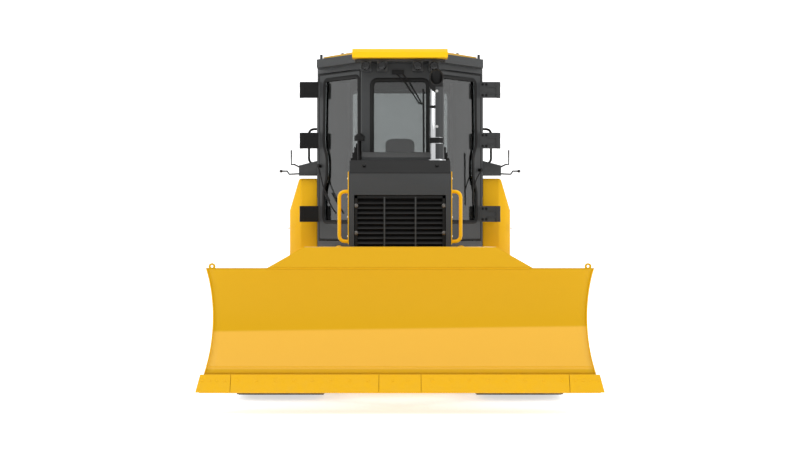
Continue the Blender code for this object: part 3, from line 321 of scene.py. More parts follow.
def maths(tree, operation, *entries):
    """The result of a Math node."""
    node = tree.nodes.new("ShaderNodeMath")
    node.operation = operation
    return feed(tree, node, dict(enumerate(entries))), 0


def mixed(tree, factor, first, second):
    """Two colours mixed by a factor."""
    node = tree.nodes.new("ShaderNodeMix")
    node.data_type = "RGBA"
    return feed(tree, node, {MIX_FACTOR: factor, MIX_FIRST: first, MIX_SECOND: second}), MIX_RESULT


def noise(tree, place, scale, detail, roughness=0.5):
    """Noise in the object's own coordinates."""
    entries = {"Vector": (place, "Object"), "Scale": scale, "Detail": detail, "Roughness": roughness}
    return feed(tree, tree.nodes.new("ShaderNodeTexNoise"), entries), "Fac"


def ranged(tree, value, from_low, from_high, to_low, to_high, kind="LINEAR"):
    """A value carried from one range to another, and held at the new range's ends."""
    node = tree.nodes.new("ShaderNodeMapRange")
    node.interpolation_type = kind
    return feed(tree, node, {"Value": value, "From Min": from_low, "From Max": from_high,
                             "To Min": to_low, "To Max": to_high}), 0


def parted(tree, place):
    """The object's own coordinates as three separate numbers."""
    return feed(tree, tree.nodes.new("ShaderNodeSeparateXYZ"), {0: (place, "Object")})


# faded colour: two shades mixed by slow noise, then dust added on faces near the ground
tone_group, entry, way_out, place = node_group(
    "faded_and_dusty",
    [("Colour", COLOUR, (0.8, 0.5, 0.1, 1)), ("Fade", FLOAT, 0.12), ("Patch Size", FLOAT, 2.5),
     ("Dust Colour", COLOUR, (0.36, 0.30, 0.23, 1)), ("Dust", FLOAT, 0.3), ("Dust Height", FLOAT, 0.7)],
    [("Colour", COLOUR), ("Dust Mask", FLOAT)])
patches = noise(tone_group, place, (entry, "Patch Size"), 5.0, 0.62)
shade = maths(tone_group, "MULTIPLY", patches, (entry, "Fade"))
lighter = feed(tone_group, tone_group.nodes.new("ShaderNodeHueSaturation"),
               {"Color": (entry, "Colour"), "Value": 1.25})
faded = mixed(tone_group, shade, (entry, "Colour"), (lighter, "Color"))
height = (parted(tone_group, place), "Z")
low_down = ranged(tone_group, height, 0.0, (entry, "Dust Height"), 1.0, 0.0)
specks = ranged(tone_group, noise(tone_group, place, 14.0, 8.0, 0.7), 0.38, 0.68, 0.0, 1.0)
dusty = maths(tone_group, "MULTIPLY", maths(tone_group, "MULTIPLY", low_down, specks), (entry, "Dust"))
with_dust = mixed(tone_group, dusty, faded, (entry, "Dust Colour"))
feed(tone_group, way_out, {"Colour": with_dust, "Dust Mask": dusty})

# ripple: fine noise as a height and as a change of roughness
ripple_group, entry, way_out, place = node_group(
    "surface_ripple",
    [("Scale", FLOAT, 60.0), ("Base Roughness", FLOAT, 0.4), ("Change", FLOAT, 0.12)],
    [("Height", FLOAT), ("Roughness", FLOAT)])
grain = noise(ripple_group, place, (entry, "Scale"), 4.0)
smear = maths(ripple_group, "SUBTRACT", noise(ripple_group, place, 5.0, 6.0), 0.5)
spread = maths(ripple_group, "MULTIPLY_ADD", smear, (entry, "Change"), (entry, "Base Roughness"))
feed(ripple_group, way_out, {"Height": grain, "Roughness": spread})

# scoured band: between two heights the colour is painted paler, with a soft slanting edge; the band is partly soil
# scouring and partly a painted reflection of the bright horizon in the glossy face, whose edge slants with the light
band_group, entry, way_out, place = node_group(
    "scoured_and_reflected_band",
    [("Colour", COLOUR, (0.8, 0.5, 0.1, 1)), ("Scoured And Reflected Colour", COLOUR, (0.8, 0.5, 0.1, 1)),
     ("Low", FLOAT, 0.36), ("High", FLOAT, 0.68), ("Slant", FLOAT, 0.014), ("Softness", FLOAT, 0.012)],
    [("Colour", COLOUR)])
apart = parted(band_group, place)
slant = maths(band_group, "MULTIPLY", (apart, "X"), (entry, "Slant"))
level = maths(band_group, "SUBTRACT", (apart, "Z"), slant)
masks = []
for measure, limit, start in ((level, "High", 1.0), ((apart, "Z"), "Low", 0.0)):
    gap = maths(band_group, "SUBTRACT", measure, (entry, limit))
    scaled = maths(band_group, "DIVIDE", gap, (entry, "Softness"))
    masks.append(ranged(band_group, scaled, -1.0, 1.0, start, 1.0 - start, "SMOOTHSTEP"))
# the paler band: partly scouring wear, partly a painted reflection of the horizon
scoured_and_reflected = mixed(band_group, maths(band_group, "MULTIPLY", *masks), (entry, "Colour"), (entry, "Scoured And Reflected Colour"))
feed(band_group, way_out, {"Colour": scoured_and_reflected})
print("node groups:", len(bpy.data.node_groups))

# %% [markdown]
# ## The finishes
# Each finish is a Principled shader fed by the shared effects. Numbers that are the same everywhere,
# such as how metallic a paint is, are set on the shader itself.


# %% Finishes
def group_node(tree, group, entries):
    """A shared effect placed in a material's tree with its own values."""
    node = tree.nodes.new("ShaderNodeGroup")
    node.node_tree = group
    return feed(tree, node, entries)


def new_material(name):
    """A material with nodes, its tree and its Principled shader."""
    made = bpy.data.materials.new(name)
    made.use_nodes = True
    return made, made.node_tree, made.node_tree.nodes["Principled BSDF"]


def finish(name, colour, roughness, metallic=0.0, fade=0.12, patch=2.5, dust=0.3, dust_height=0.7, ripple=60.0,
           ripple_depth=0.0006, change=0.12, coat=0.0, specular=0.5, scoured_and_reflected_colour=None):
    """A painted, metal or cloth finish; a scoured colour adds the paler band, partly scouring wear and partly a
    painted reflection.
    """
    made, tree, shader = new_material(name)
    tone = group_node(tree, tone_group, {"Colour": (*colour, 1), "Fade": fade, "Patch Size": patch,
                                         "Dust": dust, "Dust Height": dust_height})
    if scoured_and_reflected_colour:
        tone = group_node(tree, band_group, {"Scoured And Reflected Colour": (*scoured_and_reflected_colour, 1), "Colour": (tone, "Colour")})
    surface = group_node(tree, ripple_group, {"Scale": ripple, "Base Roughness": roughness, "Change": change})
    bump = feed(tree, tree.nodes.new("ShaderNodeBump"),
                {"Strength": 0.35, "Distance": ripple_depth, "Height": (surface, "Height")})
    feed(tree, shader, {"Metallic": metallic, "Coat Weight": coat, "Coat Roughness": 0.12,
                        "Specular IOR Level": specular, "Base Color": (tone, "Colour"),
                        "Roughness": (surface, "Roughness"), "Normal": (bump, "Normal")})
    return made


def glass_finish(name, colour, roughness=0.02, coat=0.0):
    """Clear or tinted glass, with a coat where it should mirror more."""
    made, tree, shader = new_material(name)
    feed(tree, shader, {"Base Color": (*colour, 1), "Roughness": roughness, "Transmission Weight": 1.0,
                        "IOR": 1.45, "Coat Weight": coat})
    return made


yellow_paint = finish("yellow_machine_paint", (0.83, 0.455, 0.005), 0.34, fade=0.25, dust=0.15,
                      dust_height=0.5, coat=0.05, specular=0.12)
# a brighter copy of the machine yellow for the roof: painted light, standing for the light on the roof's
# upward-facing front
roof_painted_light = finish("yellow_roof_painted_light", (0.90, 0.50, 0.006), 0.34, fade=0.2, dust=0.1,
                    dust_height=0.5, coat=0.05, specular=0.12)
blade_paint = finish("yellow_blade_paint", (0.74, 0.405, 0.005), 0.40, fade=0.3, patch=1.2, dust=0.06,
                     dust_height=0.6, ripple=35.0, ripple_depth=0.0012, specular=0.15)
# the blade's face: a darker copy of the blade yellow, painted shade for the face that curves down and away from the
# light; its paler band is partly a painted reflection and partly scouring
face_paint_with_painted_shade = finish("yellow_blade_face_painted_shade", (0.61, 0.335, 0.003), 0.38, fade=0.12, patch=1.2, dust=0.04,
                    dust_height=0.6, ripple=35.0, ripple_depth=0.0012, specular=0.15,
                    scoured_and_reflected_colour=(0.77, 0.43, 0.050))
grey_paint = finish("dark_grey_paint", (0.036, 0.038, 0.039), 0.42, fade=0.3, dust=0.12, coat=0.1, specular=0.3)
black_paint = finish("black_paint", (0.006, 0.006, 0.006), 0.45, fade=0.4, dust=0.03, specular=0.2)
track_steel = finish("track_steel", (0.034, 0.031, 0.029), 0.55, metallic=0.35, fade=0.6, patch=9.0, dust=0.42,
                     dust_height=1.3, ripple=45.0, ripple_depth=0.002, change=0.3)
worn_steel = finish("worn_steel", (0.17, 0.16, 0.15), 0.42, metallic=0.9, fade=0.5, patch=14.0, dust=0.4,
                    dust_height=0.9, ripple=90.0, ripple_depth=0.0008, change=0.3)
bright_steel = finish("bright_bolt_steel", (0.55, 0.55, 0.54), 0.3, metallic=1.0, fade=0.2, dust=0.2, ripple=120.0)
chrome = finish("hard_chrome", (0.78, 0.79, 0.80), 0.10, metallic=1.0, fade=0.05, dust=0.0, ripple=160.0,
                ripple_depth=0.0001, change=0.06)
stack_steel = finish("polished_stack_steel", (0.72, 0.73, 0.74), 0.16, metallic=1.0, fade=0.1, dust=0.0,
                     ripple=40.0, ripple_depth=0.0004, change=0.10)
seal_rubber = finish("seal_rubber", (0.007, 0.007, 0.007), 0.62, fade=0.4, dust=0.05, ripple=150.0, specular=0.25)
seat_cloth = finish("seat_cloth", (0.03, 0.03, 0.034), 0.9, fade=0.4, dust=0.0, ripple=420.0,
                    ripple_depth=0.0015, change=0.1)
trim_cloth = finish("cab_trim", (0.26, 0.26, 0.25), 0.85, fade=0.2, dust=0.0, ripple=300.0)
dark_plastic = finish("dark_moulded_plastic", (0.022, 0.022, 0.024), 0.5, fade=0.3, dust=0.0,
                      ripple=260.0, ripple_depth=0.0005)
reflector = finish("lamp_reflector", (0.03, 0.03, 0.03), 0.25, metallic=0.8, fade=0.1, dust=0.0, ripple=200.0)
red_lens = finish("red_lens", (0.25, 0.004, 0.004), 0.18, fade=0.1, dust=0.0, ripple=60.0, coat=0.6)
tinted_glass = glass_finish("tinted_glass", (0.35, 0.37, 0.37), coat=1.0)
lamp_glass = glass_finish("lamp_glass", (0.3, 0.3, 0.3), 0.05)

print("finishes:", len(bpy.data.materials))

# %% [markdown]
# ## Rounding the machine's own parts
# Sheet metal and castings never have knife edges, and a rounded edge is what catches the light. Each
# rigid part is copied from the mechanical model, its flat faces are made whole again and its edges get
# a small live bevel. The copy stands for the part and moves with the same body.

# %% Rounded copies of the mechanical parts
body_of = {node: body for body, names in frame["record"]["behaviour"]["bodies"].items() for node in names}
# walls with openings keep the model's own triangles, because one face can't have a hole in it
with_openings = ("cab_frame", "main_frame", "push_frame", "engine_bay", "radiator_guard")


def rounded_copy(node, paint, width=0.006, angle=35):
    """A copy of a mechanical part with whole faces, rounded edges and a finish."""
    mesh = frame["nodes"][node].data.copy()
    mesh.name = node + "_finished"
    work = bmesh.new()
    work.from_mesh(mesh)
    bmesh.ops.remove_doubles(work, verts=work.verts, dist=2e-5)
    if node not in with_openings:
        bmesh.ops.dissolve_limit(work, angle_limit=np.radians(1.0), verts=work.verts, edges=work.edges)
    work.to_mesh(mesh)
    work.free()
    mesh.materials.clear()
    mesh.materials.append(paint)
    obj = new_object(node + "_finished", mesh)
    mesh.shade_smooth()
    mesh.set_sharp_from_angle(angle=np.radians(angle))
    if width:
        round_edges(obj, width)
    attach(obj, body_of[node])
    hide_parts(node)


def left_and_right(*names):
    """Each name once for the left side and once for the right."""
    return tuple(f"{name}_{side}" for name in names for side, _ in SIDES)


rams = ("lift_left", "lift_right", "angle_left", "angle_right", "tilt")
copies = (
    (yellow_paint, 0.008, ("main_frame", "drawbar", "deck", "fuel_tank",
                           *left_and_right("side_tank", "track_frame"))),
    (yellow_paint, 0.003, left_and_right("engine_door")),
    (yellow_paint, 0.002, tuple(ram + "_barrel" for ram in rams)),
    (yellow_paint, 0, left_and_right("hand_rail")),
    (roof_painted_light, 0.010, ("roof_cap",)),
    (blade_paint, 0.004, ("push_frame", "yoke")),
    (face_paint_with_painted_shade, 0.004, ("blade",)),
    (grey_paint, 0.006, ("radiator_guard", "engine_bay", "roof_frame", "cab_frame")),
    (grey_paint, 0.004, left_and_right("door")),
    (black_paint, 0.003, ("hood",)),
    (black_paint, 0.004, ("radiator",)),
    (black_paint, 0, ("intake_cap", *left_and_right("grab_handle"))),
    (dark_plastic, 0.012, ("dashboard",)),
    (worn_steel, 0.010, ("engine",)),
    (worn_steel, 0.004, left_and_right("idler", "bottom_rollers", "sprocket")),
    (chrome, 0, tuple(ram + "_rod" for ram in rams)))
for paint, width, names in copies:
    for node in names:
        rounded_copy(node, paint, width)
rounded_copy("exhaust_stack", stack_steel, 0, angle=30)
for node in ("windscreen", "rear_window", *left_and_right("side_window", "door_glass")):
    frame["nodes"][node].data.materials.clear()
    frame["nodes"][node].data.materials.append(tinted_glass)

# the frame's brackets stand 2 mm clear of the push arms that swing past them
BRACKET_X, CLEARANCE = 0.5, 0.002
mesh = bpy.data.objects["main_frame_finished"].data
spots = np.empty(3 * len(mesh.vertices))
mesh.vertices.foreach_get("co", spots)
spots = spots.reshape(-1, 3)
x, y, z = spots.T
beside = (np.abs(np.abs(x) - BRACKET_X) < 5e-4) & (y > -0.65) & (y < -0.39) & (z > 0.65)
spots[beside, 0] -= CLEARANCE * np.sign(spots[beside, 0])
mesh.vertices.foreach_set("co", spots.ravel())
print("bracket corners moved:", int(beside.sum()))
print("rounded copies:", sum(len(names) for _, _, names in copies) + 1)

# %% [markdown]
# ## The blade's face
# A mouldboard is a plate rolled to one radius above a straight lower part. Its section is a function of
# the height, and each point's half width shrinks with depth, because the ends are cut on a slant. A
# smooth skin over the plate shows the true curve, and round welds run down the ends.

# %% Mouldboard skin and welds
BLADE_LOW, BLADE_TIP, EDGE_SLOPE = 0.18, -2.40, np.radians(60.0)
FLAT_RISE, ARC_RISE = 0.194, 0.806
LEAN = np.pi / 2 - EDGE_SLOPE
ARC_RADIUS = ARC_RISE / 2 / np.sin(LEAN)
ARC_START_Y = BLADE_TIP + FLAT_RISE / np.tan(EDGE_SLOPE)
ARC_START, BOARD_TOP = BLADE_LOW + FLAT_RISE, BLADE_LOW + FLAT_RISE + ARC_RISE
SKIN_LOW, SKIN_LIFT = 0.325, 0.0022


def blade_line(height):
    """y of the blade's face at a height: straight at 60 degrees, then an arc, then a line leaning forwards."""
    straight = BLADE_TIP + (height - BLADE_LOW) / np.tan(EDGE_SLOPE)
    swing = np.arcsin(np.clip((height - ARC_START - ARC_RISE / 2) / ARC_RADIUS, -1, 1))
    rolled = ARC_START_Y - ARC_RADIUS * np.cos(LEAN) + ARC_RADIUS * np.cos(swing)
    above = ARC_START_Y - np.tan(LEAN / 2) * (height - BOARD_TOP)
    return np.where(height < ARC_START, straight, np.where(height > BOARD_TOP, above, rolled))


def blade_half(height):
    """Half width at a height: 0.42 m less for each metre of depth."""
    return 1.579 - 0.42 * (blade_line(height) - ARC_START_Y)


def level_weld(half, y, z):
    """A thin weld straight across the blade."""
    seam = np.linspace(-half, half, 30)
    return bar_table(np.c_[seam, np.full(30, y), np.full(30, z)], 0.003, 8)


heights = np.r_[np.linspace(SKIN_LOW, ARC_START, 4), np.linspace(ARC_START, BOARD_TOP - 0.004, 48)[1:]]
across = np.linspace(-1, 1, 41)
grid_x = across[None, :] * (blade_half(heights)[:, None] - 0.003)
grid_y = np.broadcast_to(blade_line(heights)[:, None] - SKIN_LIFT, grid_x.shape)
grid_z = np.broadcast_to(heights[:, None], grid_x.shape)
skin_table = (np.stack([grid_x, grid_y, grid_z], -1).reshape(-1, 3), table_faces(*grid_x.shape))
skin = new_piece("mouldboard_skin", [skin_table], face_paint_with_painted_shade, "blade", angle=60)
skin_wall = skin.modifiers.new("wall", "SOLIDIFY")
skin_wall.thickness = 0.0012
run = np.linspace(0.33, BOARD_TOP - 0.01, 40)
welds = [level_weld(blade_half(0.376) - 0.01, blade_line(0.376) - 0.002, 0.376),
         level_weld(1.05, ARC_START_Y - 0.0025, BOARD_TOP - 0.002)]
for side in (-1, 1):
    welds.append(bar_table(np.c_[side * (blade_half(run) - 0.004), blade_line(run) - 0.001, run], 0.005, 8))
    corner = np.array([side * 1.60, ARC_START_Y - 0.0005, BOARD_TOP])
    welds.append(bar_table([corner, corner - [side * 0.02, 0, 0]], 0.003, 6))
new_piece("blade_welds", welds, blade_paint, "blade")

# %% [markdown]
# ## Cutting edges
# The lower edge wears away in the ground, so it is made of separate bolted lengths: two end bits, two
# long edges and a short middle one. Each length is the same sloping section carried along x, with its
# edges rounded by a live bevel, and thin gaps between them show the joints.

# %% Cutting edge lengths and their bolts
EDGE_RISE, EDGE_THICK = 0.135, 0.025
edge_out = np.array([-np.sin(EDGE_SLOPE), np.cos(EDGE_SLOPE)])
edge_up = np.array([np.cos(EDGE_SLOPE), np.sin(EDGE_SLOPE)])
edge_tip = np.array([BLADE_TIP, BLADE_LOW]) + edge_out * 0.0003
edge_long = EDGE_RISE / np.sin(EDGE_SLOPE)
edge_section = np.array([edge_tip, edge_tip + edge_up * edge_long,
                         edge_tip + edge_up * (edge_long - 0.01) + edge_out * EDGE_THICK,
                         edge_tip - edge_up * 0.012 + edge_out * EDGE_THICK])
edge_section[-1, 1] = BLADE_LOW
edge_tables = []
for low, high in ((-1.65, -1.372), (-1.369, -0.172), (-0.169, 0.169), (0.172, 1.369), (1.372, 1.65)):
    points, faces = prism_table(edge_section, low, high, 0)
    rise = (points[:, 2] - BLADE_LOW) / EDGE_RISE
    points[:, 0] -= np.where(np.abs(points[:, 0]) > 1.6, np.sign(points[:, 0]) * 0.03 * rise, 0)
    edge_tables.append((points, faces))
edges = new_piece("cutting_edges", edge_tables, blade_paint, "blade", angle=30, rounding=0.0025)
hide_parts("cutting_edge")
bolt_x = np.r_[1.42, 1.48, 1.54, 1.60, np.arange(0.26, 1.34, 0.15), 0.06]
bolt_x = np.r_[-bolt_x, bolt_x]
bolt_y, bolt_z = edge_tip + edge_up * 0.095 + edge_out * (EDGE_THICK - 0.0005)
head = turned_table([(0, 0), (0.013, 0), (0.013, 0.002), (0.010, 0.0035), (0, 0.0035)], 16)
places = [(x, bolt_y, bolt_z) for x in bolt_x]
new_piece("edge_bolts", [stood(head, places, (0, *edge_out))], blade_paint, "blade")
print("edge bolts:", len(places))

# %% [markdown]
# ## Tracks
# A crawler track is a chain of links with a steel shoe bolted on each pitch. The belt line is made of
# two arcs and straight runs. Shoes are placed at equal steps along it, each turned to the local
# direction, so one shoe's table of points is enough for the whole track.

# %% Belt line
LOOP_RADIUS, SHOE_COUNT, GROUSER, TRACK_MIDDLE = 0.40, 43, 0.05, 1.06
IDLER, SPROCKET = np.array([-1.00, 0.47]), np.array([1.75, 0.49])
GROUND_FRONT, GROUND_REAR = np.array([-0.66, GROUSER]), np.array([1.30, GROUSER])


def touch_angle(centre, point, side):
    """The angle on a wheel where a straight run from a point meets it."""
    away = point - centre
    return np.arctan2(away[1], away[0]) + side * np.arccos(LOOP_RADIUS / np.hypot(*away))


def arc(centre, start, end):
    """120 points on a circle of the loop's radius."""
    angle = np.linspace(start, end, 120)
    return centre + LOOP_RADIUS * np.c_[np.cos(angle), np.sin(angle)]


top = np.pi / 2 + np.arctan2(SPROCKET[1] - IDLER[1], SPROCKET[0] - IDLER[0])
front_end = touch_angle(IDLER, GROUND_FRONT, -1) % (2 * np.pi)
rear_start = touch_angle(SPROCKET, GROUND_REAR, 1) % (2 * np.pi) - 2 * np.pi
belt = np.vstack([arc(IDLER, top, front_end), GROUND_FRONT, GROUND_REAR, arc(SPROCKET, rear_start, top)])
belt = np.vstack([belt, belt[:1]])
belt_run = np.r_[0, np.cumsum(np.linalg.norm(np.diff(belt, axis=0), axis=1))]
PITCH = belt_run[-1] / SHOE_COUNT


def on_belt(distance):
    """Place on the belt line at a distance, by straight interpolation."""
    distance = np.asarray(distance) % belt_run[-1]
    return np.stack([np.interp(distance, belt_run, belt[:, 0]), np.interp(distance, belt_run, belt[:, 1])], -1)


start = on_belt(np.arange(SHOE_COUNT) * PITCH)
end = on_belt(np.arange(1, SHOE_COUNT + 1) * PITCH)
along = (end - start) / np.linalg.norm(end - start, axis=1, keepdims=True)
outward = np.stack([along[:, 1], -along[:, 0]], -1)
print("track pitch:", round(float(PITCH), 4), "m")

# %% Shoes, bolts and links
shoe_turn = np.zeros((SHOE_COUNT, 3, 3))
shoe_turn[:, 0, 0] = 1.0
shoe_turn[:, 1:, 1], shoe_turn[:, 1:, 2] = along, outward
rib = 0.25 * PITCH  # where the grouser rib stands on its shoe
shoe_outline = [(0.0, -0.022), (PITCH * 0.99, -0.022), (PITCH * 1.03, -0.030), (PITCH * 1.04, -0.024),
                (PITCH * 0.99, -0.002), (PITCH * 0.96, 0.0), (rib + 0.034, 0.0), (rib + 0.023, 0.010),
                (rib + 0.018, 0.046), (rib + 0.015, 0.0499), (rib + 0.003, 0.0499), (rib, 0.046),
                (rib - 0.004, 0.010), (rib - 0.014, 0.0), (0.006, 0.0), (0.0, -0.004)]
link_shape = np.array([(-0.3, -0.024), (0.55, -0.024), (0.72, -0.05), (0.72, -0.092), (0.45, -0.094),
                       (0.2, -0.080), (-0.05, -0.094), (-0.3, -0.092)])
link_outline = rounded_outline(link_shape * [PITCH, 1], 0.012, 3)
pin = bar_table([(-0.098, 0.0, -0.062), (0.098, 0.0, -0.062)], 0.022)
shoe_spots = np.array([(x, y * PITCH, 0.0) for x in (-0.085, 0.085) for y in (0.52, 0.80)])
shoe_half, link_thick = 0.379, 0.025
for side_name, side in SIDES:
    places = np.c_[np.full(SHOE_COUNT, side * TRACK_MIDDLE), start]
    shoe_tables = scattered_prism(shoe_outline, -shoe_half, shoe_half, places, shoe_turn)
    shoes = new_piece("track_shoes_" + side_name, shoe_tables, track_steel, angle=25)
    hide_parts("track_" + side_name)
    links = [table for offset in (-0.085, 0.060)
             for table in scattered_prism(link_outline, offset, offset + link_thick, places, shoe_turn)]
    links.append(scattered(pin, places, shoe_turn))
    new_piece("track_links_" + side_name, links, worn_steel, angle=30)
    bolt_places = (np.einsum("nij,kj->nki", shoe_turn, shoe_spots) + places[:, None]).reshape(-1, 3)
    bolt_aim = np.repeat(np.c_[np.zeros(SHOE_COUNT), outward], len(shoe_spots), 0)
    bolts("shoe_bolts_" + side_name, bolt_places, bolt_aim, 0.012, track_steel)
print("shoes:", 2 * SHOE_COUNT)

# %% [markdown]
# ## Window seals and doors
# Each pane sits in a black rubber seal, a bead carried round the window's rounded outline. The doors
# stand on slanting walls, so their outlines are drawn flat, in distance along the wall and height, and
# then set up on the wall by its own two directions.

# %% Seals
WALL_START, WALL_END = np.array([0.355, -0.20]), np.array([0.80, 0.42])
SCREEN_Y, REAR_PANE_Y, SIDE_PANE_X = -0.2, 1.42, 0.80
wall_along = (WALL_END - WALL_START) / np.linalg.norm(WALL_END - WALL_START)
wall_out = np.array([wall_along[1], -wall_along[0]])


def on_wall(flat, lift, side):
    """Points (distance along the wall, height) on a slanting cab wall, lifted outwards."""
    flat = np.asarray(flat, float)
    lift = np.broadcast_to(lift, len(flat))
    place = WALL_START + flat[:, :1] * wall_along + lift[:, None] * wall_out
    return np.c_[side * place[:, 0], place[:, 1], flat[:, 1]]


def upright(flat, y):
    """Points (x, height) set up at y."""
    return np.c_[flat[:, 0], np.full(len(flat), y), flat[:, 1]]


def seal_table(outline, width, height, to_world):
    """A bead round a closed outline: a half-round section whose two edges lie width apart."""
    ahead = np.roll(outline, -1, 0) - np.roll(outline, 1, 0)
    inward = np.stack([-ahead[:, 1], ahead[:, 0]], -1) / np.linalg.norm(ahead, axis=1, keepdims=True)
    turn = np.linspace(0, np.pi, 7)
    rows = [to_world(outline + inward * (width / 2) * np.cos(a), height * np.sin(a) - 0.0005) for a in turn]
    points = np.stack(rows, 1)
    return points.reshape(-1, 3), table_faces(len(outline), 7, wrap_rows=True, wrap_columns=True)


def pane_seal(left, low, right, high, to_world):
    """The seal of a pane in the cab's walls."""
    return seal_table(rounded_outline(rectangle(left, low, right, high), 0.06, 6), 0.040, 0.010, to_world)


door_glass = rounded_outline([(0.055, 1.56), (0.66, 1.56), (0.66, 1.86), (0.60, 1.98), (0.60, 2.18),
                              (0.655, 2.30), (0.64, 2.925), (0.055, 2.925)], 0.05, 6)
door_edge = rounded_outline(rectangle(0.034, 1.392, 0.735, 2.978), 0.02, 3)
handle_outline = rounded_outline(rectangle(0.085, 1.44, 0.20, 1.50), 0.012, 3)
handle_depth, handle_lift = 0.012, 0.0005
swell = np.linspace(0, np.pi, 9)
grip_line = np.c_[np.linspace(0.10, 0.185, 9), np.full(9, 1.472)]
for side_name, side in SIDES:
    def to_door(flat, lift, side=side):
        """Flat points set up on this side's door."""
        return on_wall(flat, lift, side)

    door = "cab_door_" + side_name
    seals = [seal_table(door_glass, 0.036, 0.009, to_door), seal_table(door_edge, 0.014, 0.004, to_door)]
    new_piece("door_seals_" + side_name, seals, seal_rubber, door)
    points, faces = prism_table(handle_outline, 0, 1, 0)
    plate = (to_door(points[:, 1:], handle_lift + points[:, 0] * handle_depth), faces)
    grip = bar_table(to_door(grip_line, handle_depth + 0.022 * np.sin(swell)), 0.007, 10)
    new_piece("door_handle_" + side_name, [plate, grip], dark_plastic, door)

windscreen = pane_seal(-0.262, 1.80, 0.262, 2.885, lambda flat, lift: upright(flat, SCREEN_Y - lift))
new_piece("windscreen_seal", [windscreen], seal_rubber)
rear_pane = pane_seal(-0.50, 1.75, 0.50, 2.90, lambda flat, lift: upright(flat, REAR_PANE_Y + lift))
new_piece("rear_window_seal", [rear_pane], seal_rubber)
side_panes = [pane_seal(0.52, 1.80, 1.12, 2.90,
                        lambda flat, lift, side=side: np.c_[np.full(len(flat), side * (SIDE_PANE_X + lift)), flat])
              for side in (-1, 1)]
new_piece("side_window_seals", side_panes, seal_rubber)

# %% [markdown]
# ## Wipers, hinge plates and latches
# A pantograph wiper has two thin parallel arms and a long blade. The door hinges are flat plates with
# four bolts each, so the bolts are one small table scattered over their places.

# %% Wipers
WIPER_ARM, WIPER_BLADE = 0.006, 0.009
wiper = [bar_table([(-0.05, -0.222, 2.955), (0.05, -0.232, 2.86), (0.175, -0.238, 2.67)], WIPER_ARM, 8),
         bar_table([(0.010, -0.222, 2.955), (0.09, -0.232, 2.86), (0.205, -0.238, 2.66)], WIPER_ARM, 8),
         bar_table([(0.165, -0.240, 2.672), (0.225, -0.240, 2.655)], WIPER_BLADE, 8),
         bar_table([(0.218, -0.232, 2.80), (0.220, -0.238, 2.5), (0.222, -0.232, 2.18)], WIPER_BLADE, 8),
         box_table((-0.075, -0.232, 2.935), (0.035, -0.2005, 2.975))]
new_piece("windscreen_wiper", wiper, black_paint)
door_wipers = {"left": ([(0.70, 2.06), (0.62, 1.98), (0.55, 1.86)], [(0.545, 2.22), (0.55, 1.9), (0.555, 1.72)]),
               "right": ([(0.705, 2.10), (0.62, 1.90), (0.50, 1.76)], [(0.60, 1.84), (0.47, 1.70), (0.40, 1.64)])}
for side_name, side in SIDES:
    arm, wiping = door_wipers[side_name]
    pivot = [arm[0], (arm[0][0], arm[0][1] + 0.001)]
    door_wiper = [bar_table(on_wall(arm, 0.028, side), WIPER_ARM, 8),
                  bar_table(on_wall(wiping, 0.026, side), 0.008, 8),
                  bar_table(on_wall(pivot, [0.0005, 0.034], side), 0.016)]
    new_piece("door_wiper_" + side_name, door_wiper, black_paint, "cab_door_" + side_name)

# %% Hinge plates with ribs and bolts
HINGES = ((2.76, 2.915), (2.27, 2.424), (1.56, 1.714))
PLATE_Y = 0.3848
knob_profile = [(0, -0.016), (0.010, -0.013), (0.016, 0), (0.010, 0.013), (0, 0.016)]
# on the right side (x negative) the hinge ribs are black and a thin black plate covers the strap: painted shade,
# standing for the shade on that side; the left side keeps the cab's grey
for side_name, side, paint in (("left", 1, grey_paint), ("right", -1, black_paint)):
    ribs, spots = [], []
    for low, high in HINGES:
        ribs += [box_table((side * 0.845, 0.3788, z - 0.008), (side * 0.962, PLATE_Y - 0.0002, z + 0.008))
                 for z in (low + 0.045, high - 0.045)]
        ribs.append(box_table((side * 0.93, 0.3765, low + 0.002), (side * 0.968, PLATE_Y - 0.0002, high - 0.002)))
        # thin black plate over the right strap: painted shade
        if side < 0:
            ribs.append(box_table((-0.9635, PLATE_Y - 0.003, low + 0.001), (-0.79, PLATE_Y, high - 0.001)))
        spots += [(side * x, PLATE_Y, z) for x in (0.80, 0.835) for z in (low + 0.025, high - 0.025)]
    new_piece("hinge_ribs_" + side_name, ribs, paint, "cab_door_" + side_name, smooth=False)
    bolts("hinge_bolts_" + side_name, spots, FRONT, 0.009, black_paint, "cab_door_" + side_name)
    latch_knob = turned_table(knob_profile, 16, (side * 1.16, 0.52, 2.055), (1, 0, 0))
    new_piece("latch_knob_" + side_name, [latch_knob], dark_plastic)
print("hinges dressed")

# %% [markdown]
# ## Work lamps
# Each lamp is a black housing with a dark reflector behind a clear lens. The reflector is a shallow
# dish, and its profile and the lens's are (radius, depth) pairs. The lens is drawn a little flatter.

# %% Lamps
dish = turned_table([(0, 0.010), (0.015, 0.009), (0.028, 0.003), (0.033, 0.0), (0.033, -0.002), (0, -0.002)], 24)
lens = turned_table([(0, 0.016), (0.020, 0.0145), (0.036, 0.011), (0.0375, 0.0), (0, 0.0)], 24)
lens = (lens[0] * [1, 1, 0.8] + [0, 0, 0.0106], lens[1])
bezel = turned_table([(0.036, 0.0), (0.036, 0.014), (0.041, 0.014), (0.043, 0.0)], 24, closed=True)
front_places = [(x, -0.3605, 3.001) for x in (-0.315, -0.165, 0.165, 0.315)]
rear_places = [(x, 1.52, 2.98) for x in (-0.45, 0.45)]
new_piece("front_lamp_bezels", [stood(bezel, front_places, FRONT)], black_paint)
for end, places, aim in (("front", front_places, FRONT), ("rear", rear_places, REAR)):
    new_piece(end + "_lamp_dishes", [stood(dish, places, aim)], reflector)
    new_piece(end + "_lamp_lenses", [stood(lens, places, aim)], lamp_glass)
